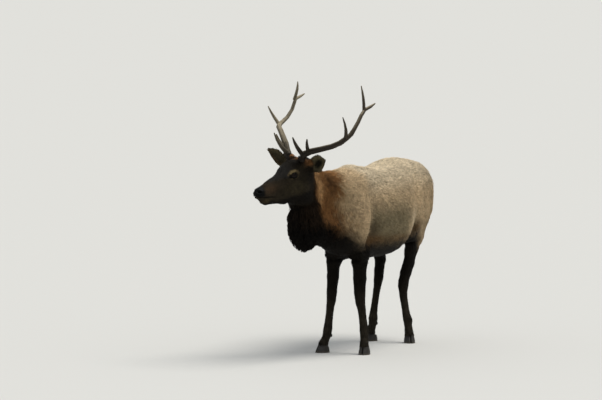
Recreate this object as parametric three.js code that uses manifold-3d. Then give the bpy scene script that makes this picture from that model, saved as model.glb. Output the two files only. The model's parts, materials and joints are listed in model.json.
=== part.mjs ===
// A young bull elk (wapiti), life size, standing still with its head turned to its right.
// Millimetres, +Z up. The animal faces -Y and its left side is +X. Outlines run to the tips of the coat.
//
// Flesh is described as masses: rounded bars along bones and muscles, and one lofted barrel for the
// trunk. Each mass is a signed distance, and a smooth minimum melts them into one body. That one body
// is then meshed region by region and parted with thin planar cuts where a person names its parts.

import * as THREE from 'three';
import Module from 'manifold-3d';
import { mergeVertices } from 'three/addons/utils/BufferGeometryUtils.js';

const wasm = await Module();
wasm.setup();

// ---------------------------------------------------------------- driving dimensions

const GAP = 0.3;                    // clearance between parts that touch
const REACH = 4000;                 // longer than the animal, for cutting blocks
const SHORTEST_EDGE = 0.05;         // edges left shorter than this by a cut are closed up

const CHEST_Y = -60;                // front and rear ends of the trunk's loft, before its rounded caps
const RUMP_Y = 1000;
const CHEST_CAP = 190;              // how far the rounded chest and rump stand past those ends
const RUMP_CAP = 165;
// lines of the trunk along its length, as [y, value]
const BACK_LINE = [[-60, 1350], [80, 1388], [270, 1366], [470, 1348], [690, 1364], [870, 1386],
  [1000, 1372]];
const BELLY_LINE = [[-60, 745], [60, 712], [250, 694], [420, 682], [550, 688], [690, 722], [850, 785],
  [1000, 870]];
const HALF_WIDTH = [[-60, 200], [80, 244], [300, 284], [500, 300], [700, 290], [860, 272], [1000, 256]];
const WIDEST_HEIGHT = [[-60, 1040], [300, 1000], [600, 1010], [1000, 1140]];
const BARREL_FULLNESS = 2.25;       // 2 is an ellipse, more is squarer

// planes that part the legs, neck and head from the rest, as a place and the way towards the piece
// that stays; the hind legs part on a slope that follows the flank
const FORE_CUT = { at: [0, 0, 697], along: [0, 0, 1], front: -260, rear: 250, top: 800 };
const HIND_CUT = { at: [0, 850, 766], along: [0, -0.386, 0.9225], front: 620, rear: 1300, top: 1000 };
// the blocks that take the legs off: from near the middle to well outside, and from below the floor
const LEG_BLOCK = { inside: 16, outside: 420, low: -50, high: 1000 };
const NECK_CUT = { at: [-20, -205, 1120], along: [0.16, 0.93, -0.33] };
const NAPE_FORWARD = 48;            // the head's cut crosses this place, in head measures
const THROAT_UP = -142;             // below this height under the jaw the coat belongs to the neck

const HEAD_YAW = THREE.MathUtils.degToRad(-24);   // turned to the animal's right
const HEAD_PITCH = THREE.MathUtils.degToRad(13.5);
const POLL = [-150, -595, 1520];    // midway between the antler burrs
const BURR_FORWARD = 115;           // the burrs in head measures: forward of the nape, above the palate
const BURR_UP = 200;

const EYE_RADIUS = 22;
const EYE = { forward: 229, out: 71, up: 78 };

const EAR_DEPTH = 34;
const EAR_WALL = 9;

// a toe's length and width at the floor, height in front and behind, half the cleft, and how much
// narrower and shorter it gets at the height of the toe
const HOOF = { length: 104, width: 42, toe: 66, heel: 46, split: 5, narrows: 0.12, shortens: 0.26,
  setBack: 10 };
const DEWCLAW = { radius: 12, length: 36, lean: 0.5, apart: 19, behind: 31, below: 30 };

// Grids that the body is meshed on, as a box and the size of a cell. The head's is in head measures;
// a leg's counts half-widths and half-depths across and its height along.
const TRUNK_GRID = { low: [-420, -420, 600], high: [420, 1290, 1480], cell: [75, 80, 72], pull: 20 };
const NECK_GRID = { low: [-430, -860, 660], high: [330, 0, 1680], cell: [54, 57, 58], pull: 16 };
const HEAD_GRID = { low: [-170, -630, -236], high: [170, 80, 215], cell: [34, 37, 35], pull: 9 };
const LEG_GRID = { across: 2.6, cell: [0.65, 0.65, 38], pull: 10 };
const FOOT_GRID = { across: 2.4, cell: [0.78, 0.78, 42], pull: 7 };
const LAP = 60;                     // how far a leg's two grids reach past the joint between them

// ---------------------------------------------------------------- materials

const finish = (color, roughness, metalness = 0) =>
  new THREE.MeshStandardMaterial({ color, roughness, metalness });

const buffCoat = finish(0xa8937a, 0.9);
const maneCoat = finish(0x54341f, 0.9);
const headCoat = finish(0x4a3b30, 0.9);
const legCoat = finish(0x2b221c, 0.88);
const rumpCoat = finish(0xc09a68, 0.9);
const eyeGloss = finish(0x14100e, 0.08);
const hoofHorn = finish(0x2a2623, 0.55);
const antlerBone = finish(0x6b5442, 0.6);

// ---------------------------------------------------------------- small tools

const vec = (p) => new THREE.Vector3(...p);
const mix = (a, b, t) => a + (b - a) * t;
const clamp01 = (t) => Math.min(1, Math.max(0, t));

// value of a [place, value] line at a place, on a smooth curve through its points
function along(line, place) {
  const last = line.length - 1;
  if (place <= line[0][0]) return line[0][1];
  if (place >= line[last][0]) return line[last][1];
  let i = 0;
  while (line[i + 1][0] < place) i += 1;
  const slope = (k) => {
    const a = line[Math.max(0, k - 1)];
    const b = line[Math.min(last, k + 1)];
    return (b[1] - a[1]) / (b[0] - a[0]);
  };
  const span = line[i + 1][0] - line[i][0];
  const t = (place - line[i][0]) / span;
  const rise = line[i + 1][1] - line[i][1];
  const from = slope(i) * span;
  const to = slope(i + 1) * span;
  return line[i][1] + t * (from + t * (3 * rise - 2 * from - to + t * (from + to - 2 * rise)));
}

function toManifold(geometry) {
  const bare = geometry.clone();
  for (const name of ['normal', 'uv']) bare.deleteAttribute(name);
  const merged = mergeVertices(bare, 1e-3);
  return new wasm.Manifold(new wasm.Mesh({
    numProp: 3,
    vertProperties: new Float32Array(merged.attributes.position.array),
    triVerts: new Uint32Array(merged.index.array),
  }));
}

function toGeometry(solid) {
  const { vertProperties, triVerts } = solid.getMesh();
  const geometry = new THREE.BufferGeometry();
  geometry.setAttribute('position', new THREE.BufferAttribute(vertProperties, 3));
  geometry.setIndex(new THREE.BufferAttribute(triVerts, 1));
  geometry.computeVertexNormals();
  return geometry;
}

// a huge block that fills the side of a plane that its direction points to
function sideOf(point, direction, offset = 0) {
  const out = vec(direction).normalize();
  const block = new THREE.BoxGeometry(REACH, REACH, REACH);
  block.translate(0, 0, REACH / 2 + offset);
  block.applyQuaternion(new THREE.Quaternion().setFromUnitVectors(new THREE.Vector3(0, 0, 1), out));
  block.translate(...point);
  return toManifold(block);
}

function blockBetween(low, high) {
  const size = high.map((value, i) => value - low[i]);
  const block = new THREE.BoxGeometry(...size);
  block.translate(...low.map((value, i) => value + size[i] / 2));
  return toManifold(block);
}

// ---------------------------------------------------------------- masses

// A rounded bar from one place to another. wide and deep are its half-sizes at the two ends, across
// and square to that; side says which way across is. blend is how softly it melts into the rest.
function bar(from, to, wide, deep, blend, side = [1, 0, 0]) {
  const start = vec(from);
  const line = vec(to).sub(start);
  const length = line.length();
  const axis = line.clone().normalize();
  const across = vec(side).addScaledVector(axis, -axis.dot(vec(side))).normalize();
  const depth = axis.clone().cross(across);
  const offset = new THREE.Vector3();
  const distance = (p) => {
    offset.copy(p).sub(start);
    const run = offset.dot(axis);
    const t = length > 0 ? clamp01(run / length) : 0;
    const w = mix(wide[0], wide[1], t);
    const d = mix(deep[0], deep[1], t);
    const cap = (w + d) / 2;
    const a = offset.dot(across);
    const b = offset.dot(depth);
    const c = run - t * length;
    const near = Math.hypot(a / w, b / d, c / cap);
    const steep = Math.hypot(a / (w * w), b / (d * d), c / (cap * cap));
    return steep > 1e-9 ? near * (near - 1) / steep : -Math.min(w, d);
  };
  return { distance, blend };
}

// a chain of bars through joints, each given as [place, half-width, half-depth]
function chain(joints, blend, side) {
  return joints.slice(1).map(([place, wide, deep], i) => {
    const [last, lastWide, lastDeep] = joints[i];
    return bar(last, place, [lastWide, wide], [lastDeep, deep], blend, side);
  });
}

// the trunk: an egg-shaped section lofted along the back and belly lines, with rounded ends
function barrel() {
  const distance = (p) => {
    const y = Math.min(RUMP_Y, Math.max(CHEST_Y, p.y));
    const past = p.y - y;
    const cap = past < 0 ? CHEST_CAP : RUMP_CAP;
    const middle = along(WIDEST_HEIGHT, y);
    const height = p.z > middle ? along(BACK_LINE, y) - middle : middle - along(BELLY_LINE, y);
    const width = along(HALF_WIDTH, y);
    const power = BARREL_FULLNESS;
    const near = Math.pow(
      Math.pow(Math.abs(p.x) / width, power) + Math.pow(Math.abs(p.z - middle) / height, power)
      + Math.pow(Math.abs(past) / cap, power), 1 / power);
    return (near - 1) * Math.min(width, height);
  };
  return { distance, blend: 60 };
}

// masses that melt into each other by their own blends, and together into the rest by one blend
function group(masses, blend) {
  return { distance: melt(masses), blend };
}

function melt(masses) {
  return (p) => {
    let total = masses[0].distance(p);
    for (let i = 1; i < masses.length; i += 1) {
      const { distance, blend } = masses[i];
      const d = distance(p);
      const h = Math.max(blend - Math.abs(total - d), 0) / blend;
      total = Math.min(total, d) - h * h * blend / 4;
    }
    return total;
  };
}

// ---------------------------------------------------------------- meshing

// A closed net over the place where the field is zero, inside a box of grid measures that warp turns
// into places. One vertex in each cell that the surface crosses, then pulled onto the surface along the
// field's slope, by at most pull. The box's outer layer counts as outside, so the net closes there, and
// cuts take that layer off.
function netOf(field, warp, { low, high, cell, pull }) {
  const count = low.map((value, i) => Math.ceil((high[i] - value) / cell[i]) + 1);
  const index = (i, j, k) => i + count[0] * (j + count[1] * k);
  const placeOf = (i, j, k) => warp(low[0] + i * cell[0], low[1] + j * cell[1], low[2] + k * cell[2]);
  const atEdge = (i, j, k) => [i, j, k].some((value, axis) => value === 0 || value === count[axis] - 1);

  const values = new Float64Array(count[0] * count[1] * count[2]);
  for (let k = 0; k < count[2]; k += 1) {
    for (let j = 0; j < count[1]; j += 1) {
      for (let i = 0; i < count[0]; i += 1) {
        values[index(i, j, k)] = atEdge(i, j, k) ? pull : field(placeOf(i, j, k));
      }
    }
  }

  const points = [];
  const loose = [];
  const pointOf = new Map();
  for (let k = 0; k < count[2] - 1; k += 1) {
    for (let j = 0; j < count[1] - 1; j += 1) {
      for (let i = 0; i < count[0] - 1; i += 1) {
        const crossings = edgeCrossings(values, index, i, j, k);
        if (crossings.length === 0) continue;
        const mean = crossings.reduce((sum, c) => sum.add(c), new THREE.Vector3());
        mean.divideScalar(crossings.length);
        pointOf.set(index(i, j, k), points.length);
        points.push(placeOf(i + mean.x, j + mean.y, k + mean.z));
        loose.push(!atEdge(i, j, k) && !atEdge(i + 1, j + 1, k + 1));
      }
    }
  }
  points.forEach((point, i) => { if (loose[i]) pullOnto(field, point, pull); });

  const triangles = [];
  const quad = (a, b, c, d, flipped) => {
    const corners = [a, b, c, d].map((key) => pointOf.get(key));
    if (flipped) corners.reverse();
    const [p, q, r, s] = corners;
    const shorter = points[p].distanceToSquared(points[r]) < points[q].distanceToSquared(points[s]);
    triangles.push(...(shorter ? [p, q, r, p, r, s] : [q, r, s, q, s, p]));
  };
  for (let k = 1; k < count[2] - 1; k += 1) {
    for (let j = 1; j < count[1] - 1; j += 1) {
      for (let i = 1; i < count[0] - 1; i += 1) {
        const here = values[index(i, j, k)] < 0;
        if (here !== values[index(i + 1, j, k)] < 0) {
          quad(index(i, j - 1, k - 1), index(i, j, k - 1), index(i, j, k), index(i, j - 1, k), !here);
        }
        if (here !== values[index(i, j + 1, k)] < 0) {
          quad(index(i - 1, j, k - 1), index(i - 1, j, k), index(i, j, k), index(i, j, k - 1), !here);
        }
        if (here !== values[index(i, j, k + 1)] < 0) {
          quad(index(i - 1, j - 1, k), index(i, j - 1, k), index(i, j, k), index(i - 1, j, k), !here);
        }
      }
    }
  }
  // the outermost layer is never inside, so the edges that start on it are crossed only inwards
  for (let axis = 0; axis < 3; axis += 1) rimQuads(axis, values, count, index, quad);

  const geometry = new THREE.BufferGeometry();
  geometry.setAttribute('position', new THREE.Float32BufferAttribute(points.flatMap((p) => p.toArray()), 3));
  geometry.setIndex(triangles);
  return toManifold(geometry);
}

// quads across grid edges that leave the box's low side along one axis
function rimQuads(axis, values, count, index, quad) {
  const [u, v] = [0, 1, 2].filter((other) => other !== axis);
  for (let a = 1; a < count[u] - 1; a += 1) {
    for (let b = 1; b < count[v] - 1; b += 1) {
      const corner = [0, 0, 0];
      corner[u] = a;
      corner[v] = b;
      const next = [...corner];
      next[axis] = 1;
      if (values[index(...next)] >= 0) continue;
      const cellAt = (du, dv) => {
        const cellCorner = [...corner];
        cellCorner[u] -= du;
        cellCorner[v] -= dv;
        return index(...cellCorner);
      };
      quad(cellAt(1, 1), cellAt(0, 1), cellAt(0, 0), cellAt(1, 0), axis !== 1);
    }
  }
}

const CELL_EDGES = [];
for (let axis = 0; axis < 3; axis += 1) {
  const others = [0, 1, 2].filter((other) => other !== axis);
  for (const u of [0, 1]) {
    for (const v of [0, 1]) {
      const from = [0, 0, 0];
      from[others[0]] = u;
      from[others[1]] = v;
      CELL_EDGES.push({ from, axis });
    }
  }
}

function edgeCrossings(values, index, i, j, k) {
  const crossings = [];
  for (const { from, axis } of CELL_EDGES) {
    const to = [...from];
    to[axis] += 1;
    const a = values[index(i + from[0], j + from[1], k + from[2])];
    const b = values[index(i + to[0], j + to[1], k + to[2])];
    if (a < 0 === b < 0) continue;
    const crossing = [...from];
    crossing[axis] = a / (a - b);
    crossings.push(vec(crossing));
  }
  return crossings;
}

function pullOnto(field, point, most) {
  const step = most / 15;
  const probe = new THREE.Vector3();
  for (let round = 0; round < 4; round += 1) {
    const here = field(point);
    const slope = new THREE.Vector3(...['x', 'y', 'z'].map((key) => {
      probe.copy(point);
      probe[key] += step;
      return (field(probe) - here) / step;
    }));
    const move = Math.max(-most, Math.min(most, here / Math.max(slope.lengthSq(), 0.05)));
    point.addScaledVector(slope, -move);
  }
}

// ---------------------------------------------------------------- the head's own frame

// Head measures are forward from the nape, out to the animal's left, and up from the palate.
const headTurn = new THREE.Matrix4()
  .makeRotationFromEuler(new THREE.Euler(HEAD_PITCH, 0, HEAD_YAW, 'ZXY'));
const headFrame = new THREE.Matrix4().makeTranslation(...POLL).multiply(headTurn)
  .multiply(new THREE.Matrix4().makeTranslation(0, BURR_FORWARD, -BURR_UP));
const inHead = (forward, out, up) => new THREE.Vector3(out, -forward, up).applyMatrix4(headFrame).toArray();
const headOut = new THREE.Vector3(1, 0, 0).transformDirection(headFrame).toArray();

// antler measures are out from the animal's middle, back and up, turned with the head but kept level
const antlerFrame = new THREE.Matrix4().makeTranslation(...POLL)
  .multiply(new THREE.Matrix4().makeRotationZ(HEAD_YAW));

// ---------------------------------------------------------------- flesh

const headBar = (from, to, wide, deep, blend) =>
  bar(inHead(...from), inHead(...to), wide, deep, blend, headOut);

const headMasses = [
  headBar([70, 0, 92], [200, 0, 92], [70, 78], [76, 80], 30),            // braincase
  headBar([180, 0, 100], [262, 0, 92], [60, 50], [72, 52], 30),          // forehead
  headBar([235, 0, 66], [400, 0, 38], [66, 47], [74, 54], 30),           // face
  headBar([400, 0, 38], [520, 0, 22], [46, 43], [54, 44], 25),           // muzzle
  headBar([522, 0, 28], [536, 0, 26], [40, 33], [36, 31], 18),           // nose
  headBar([130, 0, -40], [300, 0, -52], [60, 50], [92, 66], 35),         // lower jaw
  headBar([300, 0, -52], [478, 0, -32], [48, 33], [60, 38], 30),
  headBar([486, 0, -34], [500, 0, -34], [31, 25], [36, 28], 20),         // chin
  headBar([150, 44, -20], [245, 46, 4], [40, 34], [66, 40], 30),         // cheeks
  headBar([150, -44, -20], [245, -46, 4], [40, 34], [66, 40], 30),
  headBar([214, 56, 104], [262, 54, 96], [24, 20], [22, 18], 22),        // brow over each eye
  headBar([214, -56, 104], [262, -54, 96], [24, 20], [22, 18], 22),
  headBar([108, 48, 160], [114, 70, 188], [30, 25], [30, 25], 22),       // pedicles
  headBar([108, -48, 160], [114, -70, 188], [30, 25], [30, 25], 22),
  headBar([62, 74, 108], [40, 92, 122], [32, 26], [34, 28], 26),         // ear roots
  headBar([62, -74, 108], [40, -92, 122], [32, 26], [34, 28], 26),
];

const neckMasses = [
  bar([0, 30, 1195], [-45, -240, 1205], [185, 140], [180, 158], 60),
  bar([-45, -240, 1205], [-105, -430, 1290], [140, 108], [158, 118], 50),
  bar([-105, -430, 1290], inHead(70, 0, 50), [108, 84], [118, 98], 50),
  bar([-95, -390, 1170], inHead(150, 0, -70), [118, 80], [130, 84], 50),           // throat
  bar([-140, -496, 1120], [-126, -470, 960], [114, 122], [112, 118], 70),          // mane
  bar([-126, -470, 960], [-132, -486, 872], [116, 80], [112, 70], 50),
  bar([-90, -372, 1010], [-20, -130, 960], [136, 180], [146, 190], 70),
];

// Each leg is a chain of joints from the shoulder or hip down to the pastern, [place, half-width,
// half-depth]. joint is the height at the knee or hock where the leg is parted.
const LEGS = {
  foreleg_left: {
    cut: FORE_CUT, joint: 420, upper: 'forearm', hoof: [155, -34], toeOut: 4,
    muscle: [[[106, -10, 1230], 76, 112], [[142, -96, 1010], 76, 112], [[136, 20, 850], 66, 98]],
    limb: [[[136, 20, 850], 62, 86], [[110, -8, 700], 51, 63], [[110, -10, 560], 43, 48],
      [[113, -18, 470], 37, 42], [[117, -19, 400], 34, 37]],
    cannon: [[[117, -19, 400], 33, 36], [[126, -10, 330], 25, 28], [[138, 2, 200], 25, 29],
      [[142, 2, 152], 32, 35], [[148, -16, 98], 27, 30], [[153, -26, 58], 36, 40], [[155, -30, 20], 38, 42]],
  },
  foreleg_right: {
    cut: FORE_CUT, joint: 420, upper: 'forearm', hoof: [-184, -36], toeOut: -36,
    muscle: [[[-106, -10, 1230], 76, 112], [[-142, -96, 1010], 76, 112], [[-134, 20, 850], 66, 98]],
    limb: [[[-134, 20, 850], 62, 86], [[-103, -6, 700], 47, 60], [[-108, -8, 560], 38, 44],
      [[-113, -14, 470], 33, 38], [[-117, -14, 400], 32, 36]],
    cannon: [[[-117, -14, 400], 31, 35], [[-130, -8, 330], 24, 28], [[-149, 0, 200], 25, 29],
      [[-154, 0, 152], 32, 35], [[-166, -16, 98], 27, 30], [[-180, -28, 58], 36, 40],
      [[-184, -32, 20], 38, 42]],
  },
  hindleg_left: {
    cut: HIND_CUT, joint: 500, upper: 'thigh', hoof: [168, 800], toeOut: 34,
    muscle: [[[116, 960, 1170], 112, 146], [[154, 926, 980], 94, 164], [[168, 882, 850], 63, 138]],
    limb: [[[160, 918, 900], 74, 154], [[163, 896, 800], 52, 108], [[143, 896, 710], 39, 82],
      [[124, 888, 615], 30, 50], [[107, 868, 540], 32, 45], [[92, 852, 440], 35, 46]],
    heel: [[[133, 944, 670], 14, 22], [[121, 932, 590], 19, 22], [[108, 896, 510], 20, 26]],
    cannon: [[[92, 852, 440], 35, 44], [[98, 838, 360], 25, 31], [[132, 818, 215], 22, 29],
      [[144, 822, 160], 31, 35], [[153, 812, 104], 27, 31], [[164, 802, 60], 36, 40],
      [[168, 798, 20], 38, 42]],
  },
  hindleg_right: {
    cut: HIND_CUT, joint: 500, upper: 'thigh', hoof: [-160, 806], toeOut: -34,
    muscle: [[[-116, 960, 1170], 112, 146], [[-150, 920, 980], 92, 160], [[-158, 868, 850], 62, 132]],
    limb: [[[-154, 912, 900], 72, 150], [[-157, 890, 800], 50, 106], [[-136, 892, 710], 38, 84],
      [[-112, 880, 610], 27, 52], [[-106, 852, 520], 29, 42], [[-106, 838, 455], 29, 38]],
    heel: [[[-124, 940, 690], 14, 24], [[-115, 930, 625], 20, 24], [[-110, 884, 560], 20, 26]],
    cannon: [[[-106, 838, 455], 27, 36], [[-114, 828, 390], 20, 28], [[-136, 818, 215], 22, 29],
      [[-142, 824, 160], 31, 35], [[-148, 814, 104], 27, 31], [[-157, 806, 60], 36, 40],
      [[-160, 802, 20], 38, 42]],
  },
};

const legMasses = Object.values(LEGS).map(({ muscle, limb, heel, cannon }) => group([
  ...chain(muscle, 50), ...chain(limb, 14), ...(heel ? chain(heel, 24) : []), ...chain(cannon, 10)], 75));

const body = melt([barrel(), ...neckMasses, group(headMasses, 50), ...legMasses]);

// ---------------------------------------------------------------- parts of the body

const elk = new THREE.Group();

// adds a part, without any sliver that a cut has left loose and any edge too short to make
function place(name, solid, material) {
  const bodies = solid.decompose().sort((a, b) => b.volume() - a.volume());
  const mesh = new THREE.Mesh(toGeometry(bodies[0].simplify(SHORTEST_EDGE)), material);
  mesh.name = name;
  elk.add(mesh);
}

const straight = (u, v, w) => new THREE.Vector3(u, v, w);
const opposite = (direction) => direction.map((value) => -value);

const NAPE = inHead(NAPE_FORWARD, 0, 40);
const FACEWARD = new THREE.Vector3(0, -0.94, 0.34).transformDirection(headFrame).toArray();
const THROAT = inHead(330, 0, THROAT_UP);
const UP = [0, 0, 1];

// the space that the head takes: in front of the nape and above the throat
const headBlock = (offset) => sideOf(NAPE, FACEWARD, offset).intersect(sideOf(THROAT, UP, offset));

// the space that a leg takes below its cut, so that the belly between the legs isn't touched
function legBlock({ cut, hoof }, offset) {
  const side = Math.sign(hoof[0]);
  const across = [side * LEG_BLOCK.inside, side * LEG_BLOCK.outside].sort((a, b) => a - b);
  return blockBetween([across[0], cut.front, LEG_BLOCK.low], [across[1], cut.rear, LEG_BLOCK.high])
    .intersect(sideOf(cut.at, opposite(cut.along), offset));
}

function makeTrunk(tailRoom) {
  const net = netOf(body, straight, TRUNK_GRID);
  let trunk = net.intersect(sideOf(NECK_CUT.at, NECK_CUT.along, GAP / 2)).subtract(tailRoom);
  for (const leg of Object.values(LEGS)) trunk = trunk.subtract(legBlock(leg, -GAP / 2));
  place('trunk', trunk, buffCoat);
}

function makeNeck() {
  const net = netOf(body, straight, NECK_GRID);
  const neck = net.intersect(sideOf(NECK_CUT.at, opposite(NECK_CUT.along), GAP / 2))
    .subtract(headBlock(-GAP / 2));
  place('neck', neck, maneCoat);
}

const eyePlace = (side) => inHead(EYE.forward, side * EYE.out, EYE.up);
const ball = (centre, radius, around, down) => {
  const sphere = new THREE.SphereGeometry(radius, around, down);
  sphere.translate(...centre);
  return toManifold(sphere);
};

// the head's grid narrows with the head from the nape to the nose: [forward, share], [forward, up]
const HEAD_SHARE = [[0, 1.15], [240, 1], [400, 0.68], [560, 0.52]];
const HEAD_MIDDLE = [[0, 30], [240, 8], [400, -2], [560, 10]];

function headWarp(u, v, w) {
  const share = along(HEAD_SHARE, -v);
  return new THREE.Vector3(u * share, v, along(HEAD_MIDDLE, -v) + w * share).applyMatrix4(headFrame);
}

function makeHead(rooms) {
  const net = netOf(body, headWarp, HEAD_GRID);
  let head = net.intersect(headBlock(GAP / 2));
  for (const [name, side] of [['left', 1], ['right', -1]]) {
    head = head.subtract(ball(eyePlace(side), EYE_RADIUS + GAP, 12, 7));
    place(`eye_${name}`, ball(eyePlace(side), EYE_RADIUS - GAP, 12, 7), eyeGloss);
  }
  head = head.subtract(rooms.reduce((all, room) => all.add(room)));
  place('head', head, headCoat);
}

// a leg's grid follows its joints: u and v count half-widths and half-depths, w is the height
function sleeve(joints) {
  const upward = [...joints].sort((a, b) => a[0][2] - b[0][2]);
  const lines = [([[x]]) => x, ([[, y]]) => y, ([, wide]) => wide, ([, , deep]) => deep]
    .map((pick) => upward.map((joint) => [joint[0][2], pick(joint)]));
  return (u, v, w) => {
    const [x, y, wide, deep] = lines.map((line) => along(line, w));
    return new THREE.Vector3(x + u * wide, y + v * deep, w);
  };
}

// the upper leg, and the lower leg without its foot yet
function makeLeg(name, leg) {
  const { cut, joint, upper, limb, cannon } = leg;
  const grid = (shape, from, to) => ({ ...shape,
    low: [-shape.across, -shape.across, from], high: [shape.across, shape.across, to] });
  const upperNet = netOf(body, sleeve(limb), grid(LEG_GRID, joint - LAP, cut.top));
  const lowerNet = netOf(body, sleeve([...limb, ...cannon]), grid(FOOT_GRID, -LAP, joint + LAP));
  place(`${name}_${upper}`, upperNet.intersect(legBlock(leg, GAP / 2))
    .intersect(sideOf([0, 0, joint], UP, GAP / 2)), legCoat);
  return lowerNet.intersect(sideOf([0, 0, joint], opposite(UP), GAP / 2));
}

// ---------------------------------------------------------------- hooves and dewclaws

const TOE_SEGMENTS = 3;              // straight steps in each curve of a toe's outline

// One of a foot's two toes: a half outline, straight along the split and bowed outside, drawn in
// towards a slanted top that is higher in front than at the heel.
function toeGeometry(side) {
  const { length, width, split, narrows, shortens, setBack } = HOOF;
  const [front, back, inner] = [-length / 2, length / 2, split / 2];
  const round = width / 4;
  const outline = new THREE.Shape();
  outline.moveTo(inner, back - round);
  outline.lineTo(inner, front + round);
  outline.quadraticCurveTo(inner + 1, front, inner + round, front);
  outline.quadraticCurveTo(width, front + length / 4, width, 0);
  outline.quadraticCurveTo(width, back, width * 0.55, back);
  outline.quadraticCurveTo(inner + 1, back, inner, back - round);
  const toe = new THREE.ExtrudeGeometry(outline, {
    depth: HOOF.toe * 1.3, steps: 1, curveSegments: TOE_SEGMENTS, bevelEnabled: false });
  const corners = toe.attributes.position;
  for (let i = 0; i < corners.count; i += 1) {
    const rise = corners.getZ(i) / HOOF.toe;
    const y = corners.getY(i);
    corners.setX(i, side * (inner + (corners.getX(i) - inner) * (1 - narrows * rise)));
    corners.setY(i, y + rise * (setBack - y * shortens));
  }
  if (side > 0) return toe;
  const turned = mergeVertices(toe.deleteAttribute('uv').deleteAttribute('normal'), 1e-3);
  turned.index.array.reverse();
  return turned;
}

// the geometry moved outwards all over by a little, to cut room for it in a neighbour
function swollen(geometry, by) {
  const bare = geometry.clone();
  for (const name of ['normal', 'uv']) bare.deleteAttribute(name);
  const merged = mergeVertices(bare, 1e-3);
  merged.computeVertexNormals();
  const { position, normal } = merged.attributes;
  for (let i = 0; i < position.count; i += 1) {
    position.setXYZ(i, position.getX(i) + by * normal.getX(i), position.getY(i) + by * normal.getY(i),
      position.getZ(i) + by * normal.getZ(i));
  }
  return toManifold(merged);
}

function makeFoot(name, { hoof, toeOut, cannon }, lowerLeg) {
  const [x, y] = hoof;
  const angle = THREE.MathUtils.degToRad(toeOut);
  const turn = new THREE.Matrix4().makeTranslation(x, y, 0)
    .multiply(new THREE.Matrix4().makeRotationZ(angle));
  const slope = Math.atan2(HOOF.toe - HOOF.heel, HOOF.length);
  const coronet = new THREE.Vector3(0, 0, (HOOF.toe + HOOF.heel) / 2).applyMatrix4(turn).toArray();
  const upward = new THREE.Vector3(0, Math.sin(slope), Math.cos(slope)).transformDirection(turn).toArray();
  const fetlock = cannon[3][0];
  let leg = lowerLeg.intersect(sideOf(coronet, upward, GAP / 2));
  for (const [claw, side] of [['inner', -Math.sign(x)], ['outer', Math.sign(x)]]) {
    const toe = toManifold(toeGeometry(side).applyMatrix4(turn));
    place(`${name}_hoof_${claw}`, toe.intersect(sideOf(coronet, opposite(upward), GAP / 2)), hoofHorn);
    const horn = new THREE.SphereGeometry(1, 6, 4);
    horn.scale(DEWCLAW.radius, DEWCLAW.radius, DEWCLAW.length / 2);
    horn.rotateX(DEWCLAW.lean);
    horn.translate(side * DEWCLAW.apart, DEWCLAW.behind, -DEWCLAW.below);
    horn.rotateZ(angle);
    horn.translate(...fetlock);
    place(`${name}_dewclaw_${claw}`, toManifold(horn), hoofHorn);
    leg = leg.subtract(swollen(horn, GAP * 1.5));
  }
  place(`${name}_cannon`, leg, legCoat);
}

// ---------------------------------------------------------------- ears and tail

const EAR_AROUND = 6;               // points along the cup's arc
const EAR_ALONG = 8;                // rings along the ear
const EAR_CURL = 1.45;              // how far the cup closes to each side, radians

// A leaf rolled into a cup that is solid at its root. Rings run from the root to the tip; each ring
// goes along the outside of the cup from edge to edge and back along the inside.
function earGeometry(length, width) {
  const rings = [];
  for (let i = 0; i <= EAR_ALONG; i += 1) {
    const t = i / EAR_ALONG;
    const half = width / 2 * Math.pow(Math.sin(Math.PI * mix(0.2, 0.975, t)), 0.75);
    const curl = mix(EAR_CURL, 0.7, t);
    const depth = EAR_DEPTH * mix(1.3, 0.4, t);
    const hollow = THREE.MathUtils.smoothstep(t, 0.1, 0.4);
    const wall = mix(EAR_WALL * 1.3, EAR_WALL * 0.6, t);
    const across = (angle) => half * Math.sin(angle) / Math.sin(curl);
    const back = (angle) => depth * (Math.cos(angle) - Math.cos(curl)) / (1 - Math.cos(curl));
    const angles = Array.from({ length: EAR_AROUND }, (_, j) => curl * (2 * j / (EAR_AROUND - 1) - 1));
    const outside = angles.map((angle) => [across(angle), back(angle) + wall / 2, length * t]);
    const inside = angles.reverse().map((angle) => [across(angle) * 0.92,
      hollow * back(angle) * 0.92 - wall / 2, length * t]);
    rings.push([...outside, ...inside].reverse());
  }
  return ringsGeometry(rings);
}

// a closed skin over rings that all have as many points
function ringsGeometry(rings) {
  const size = rings[0].length;
  const points = rings.flat();
  const triangles = [];
  for (let i = 0; i < rings.length - 1; i += 1) {
    for (let j = 0; j < size; j += 1) {
      const a = i * size + j;
      const b = i * size + (j + 1) % size;
      triangles.push(a, b, b + size, a, b + size, a + size);
    }
  }
  for (const [ring, flipped] of [[0, true], [rings.length - 1, false]]) {
    const middle = points.length;
    const centre = [0, 1, 2].map((axis) => rings[ring].reduce((sum, p) => sum + p[axis], 0) / size);
    points.push(centre);
    for (let j = 0; j < size; j += 1) {
      const a = ring * size + j;
      const b = ring * size + (j + 1) % size;
      triangles.push(...(flipped ? [b, a, middle] : [a, b, middle]));
    }
  }
  const geometry = new THREE.BufferGeometry();
  geometry.setAttribute('position', new THREE.Float32BufferAttribute(points.flat(), 3));
  geometry.setIndex(triangles);
  return geometry;
}

// root, tip direction and the way the cup opens, in the antlers' level frame (out, back, up)
const EARS = {
  left: { side: 1, root: [72, 58, -99], tip: [0.93, -0.11, 0.345], open: [0.35, -0.93, 0.05],
    length: 217, width: 112 },
  right: { side: -1, root: [72, 58, -96], tip: [0.64, -0.55, 0.55], open: [-0.74, -0.67, 0.09],
    length: 232, width: 122 },
};

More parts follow.
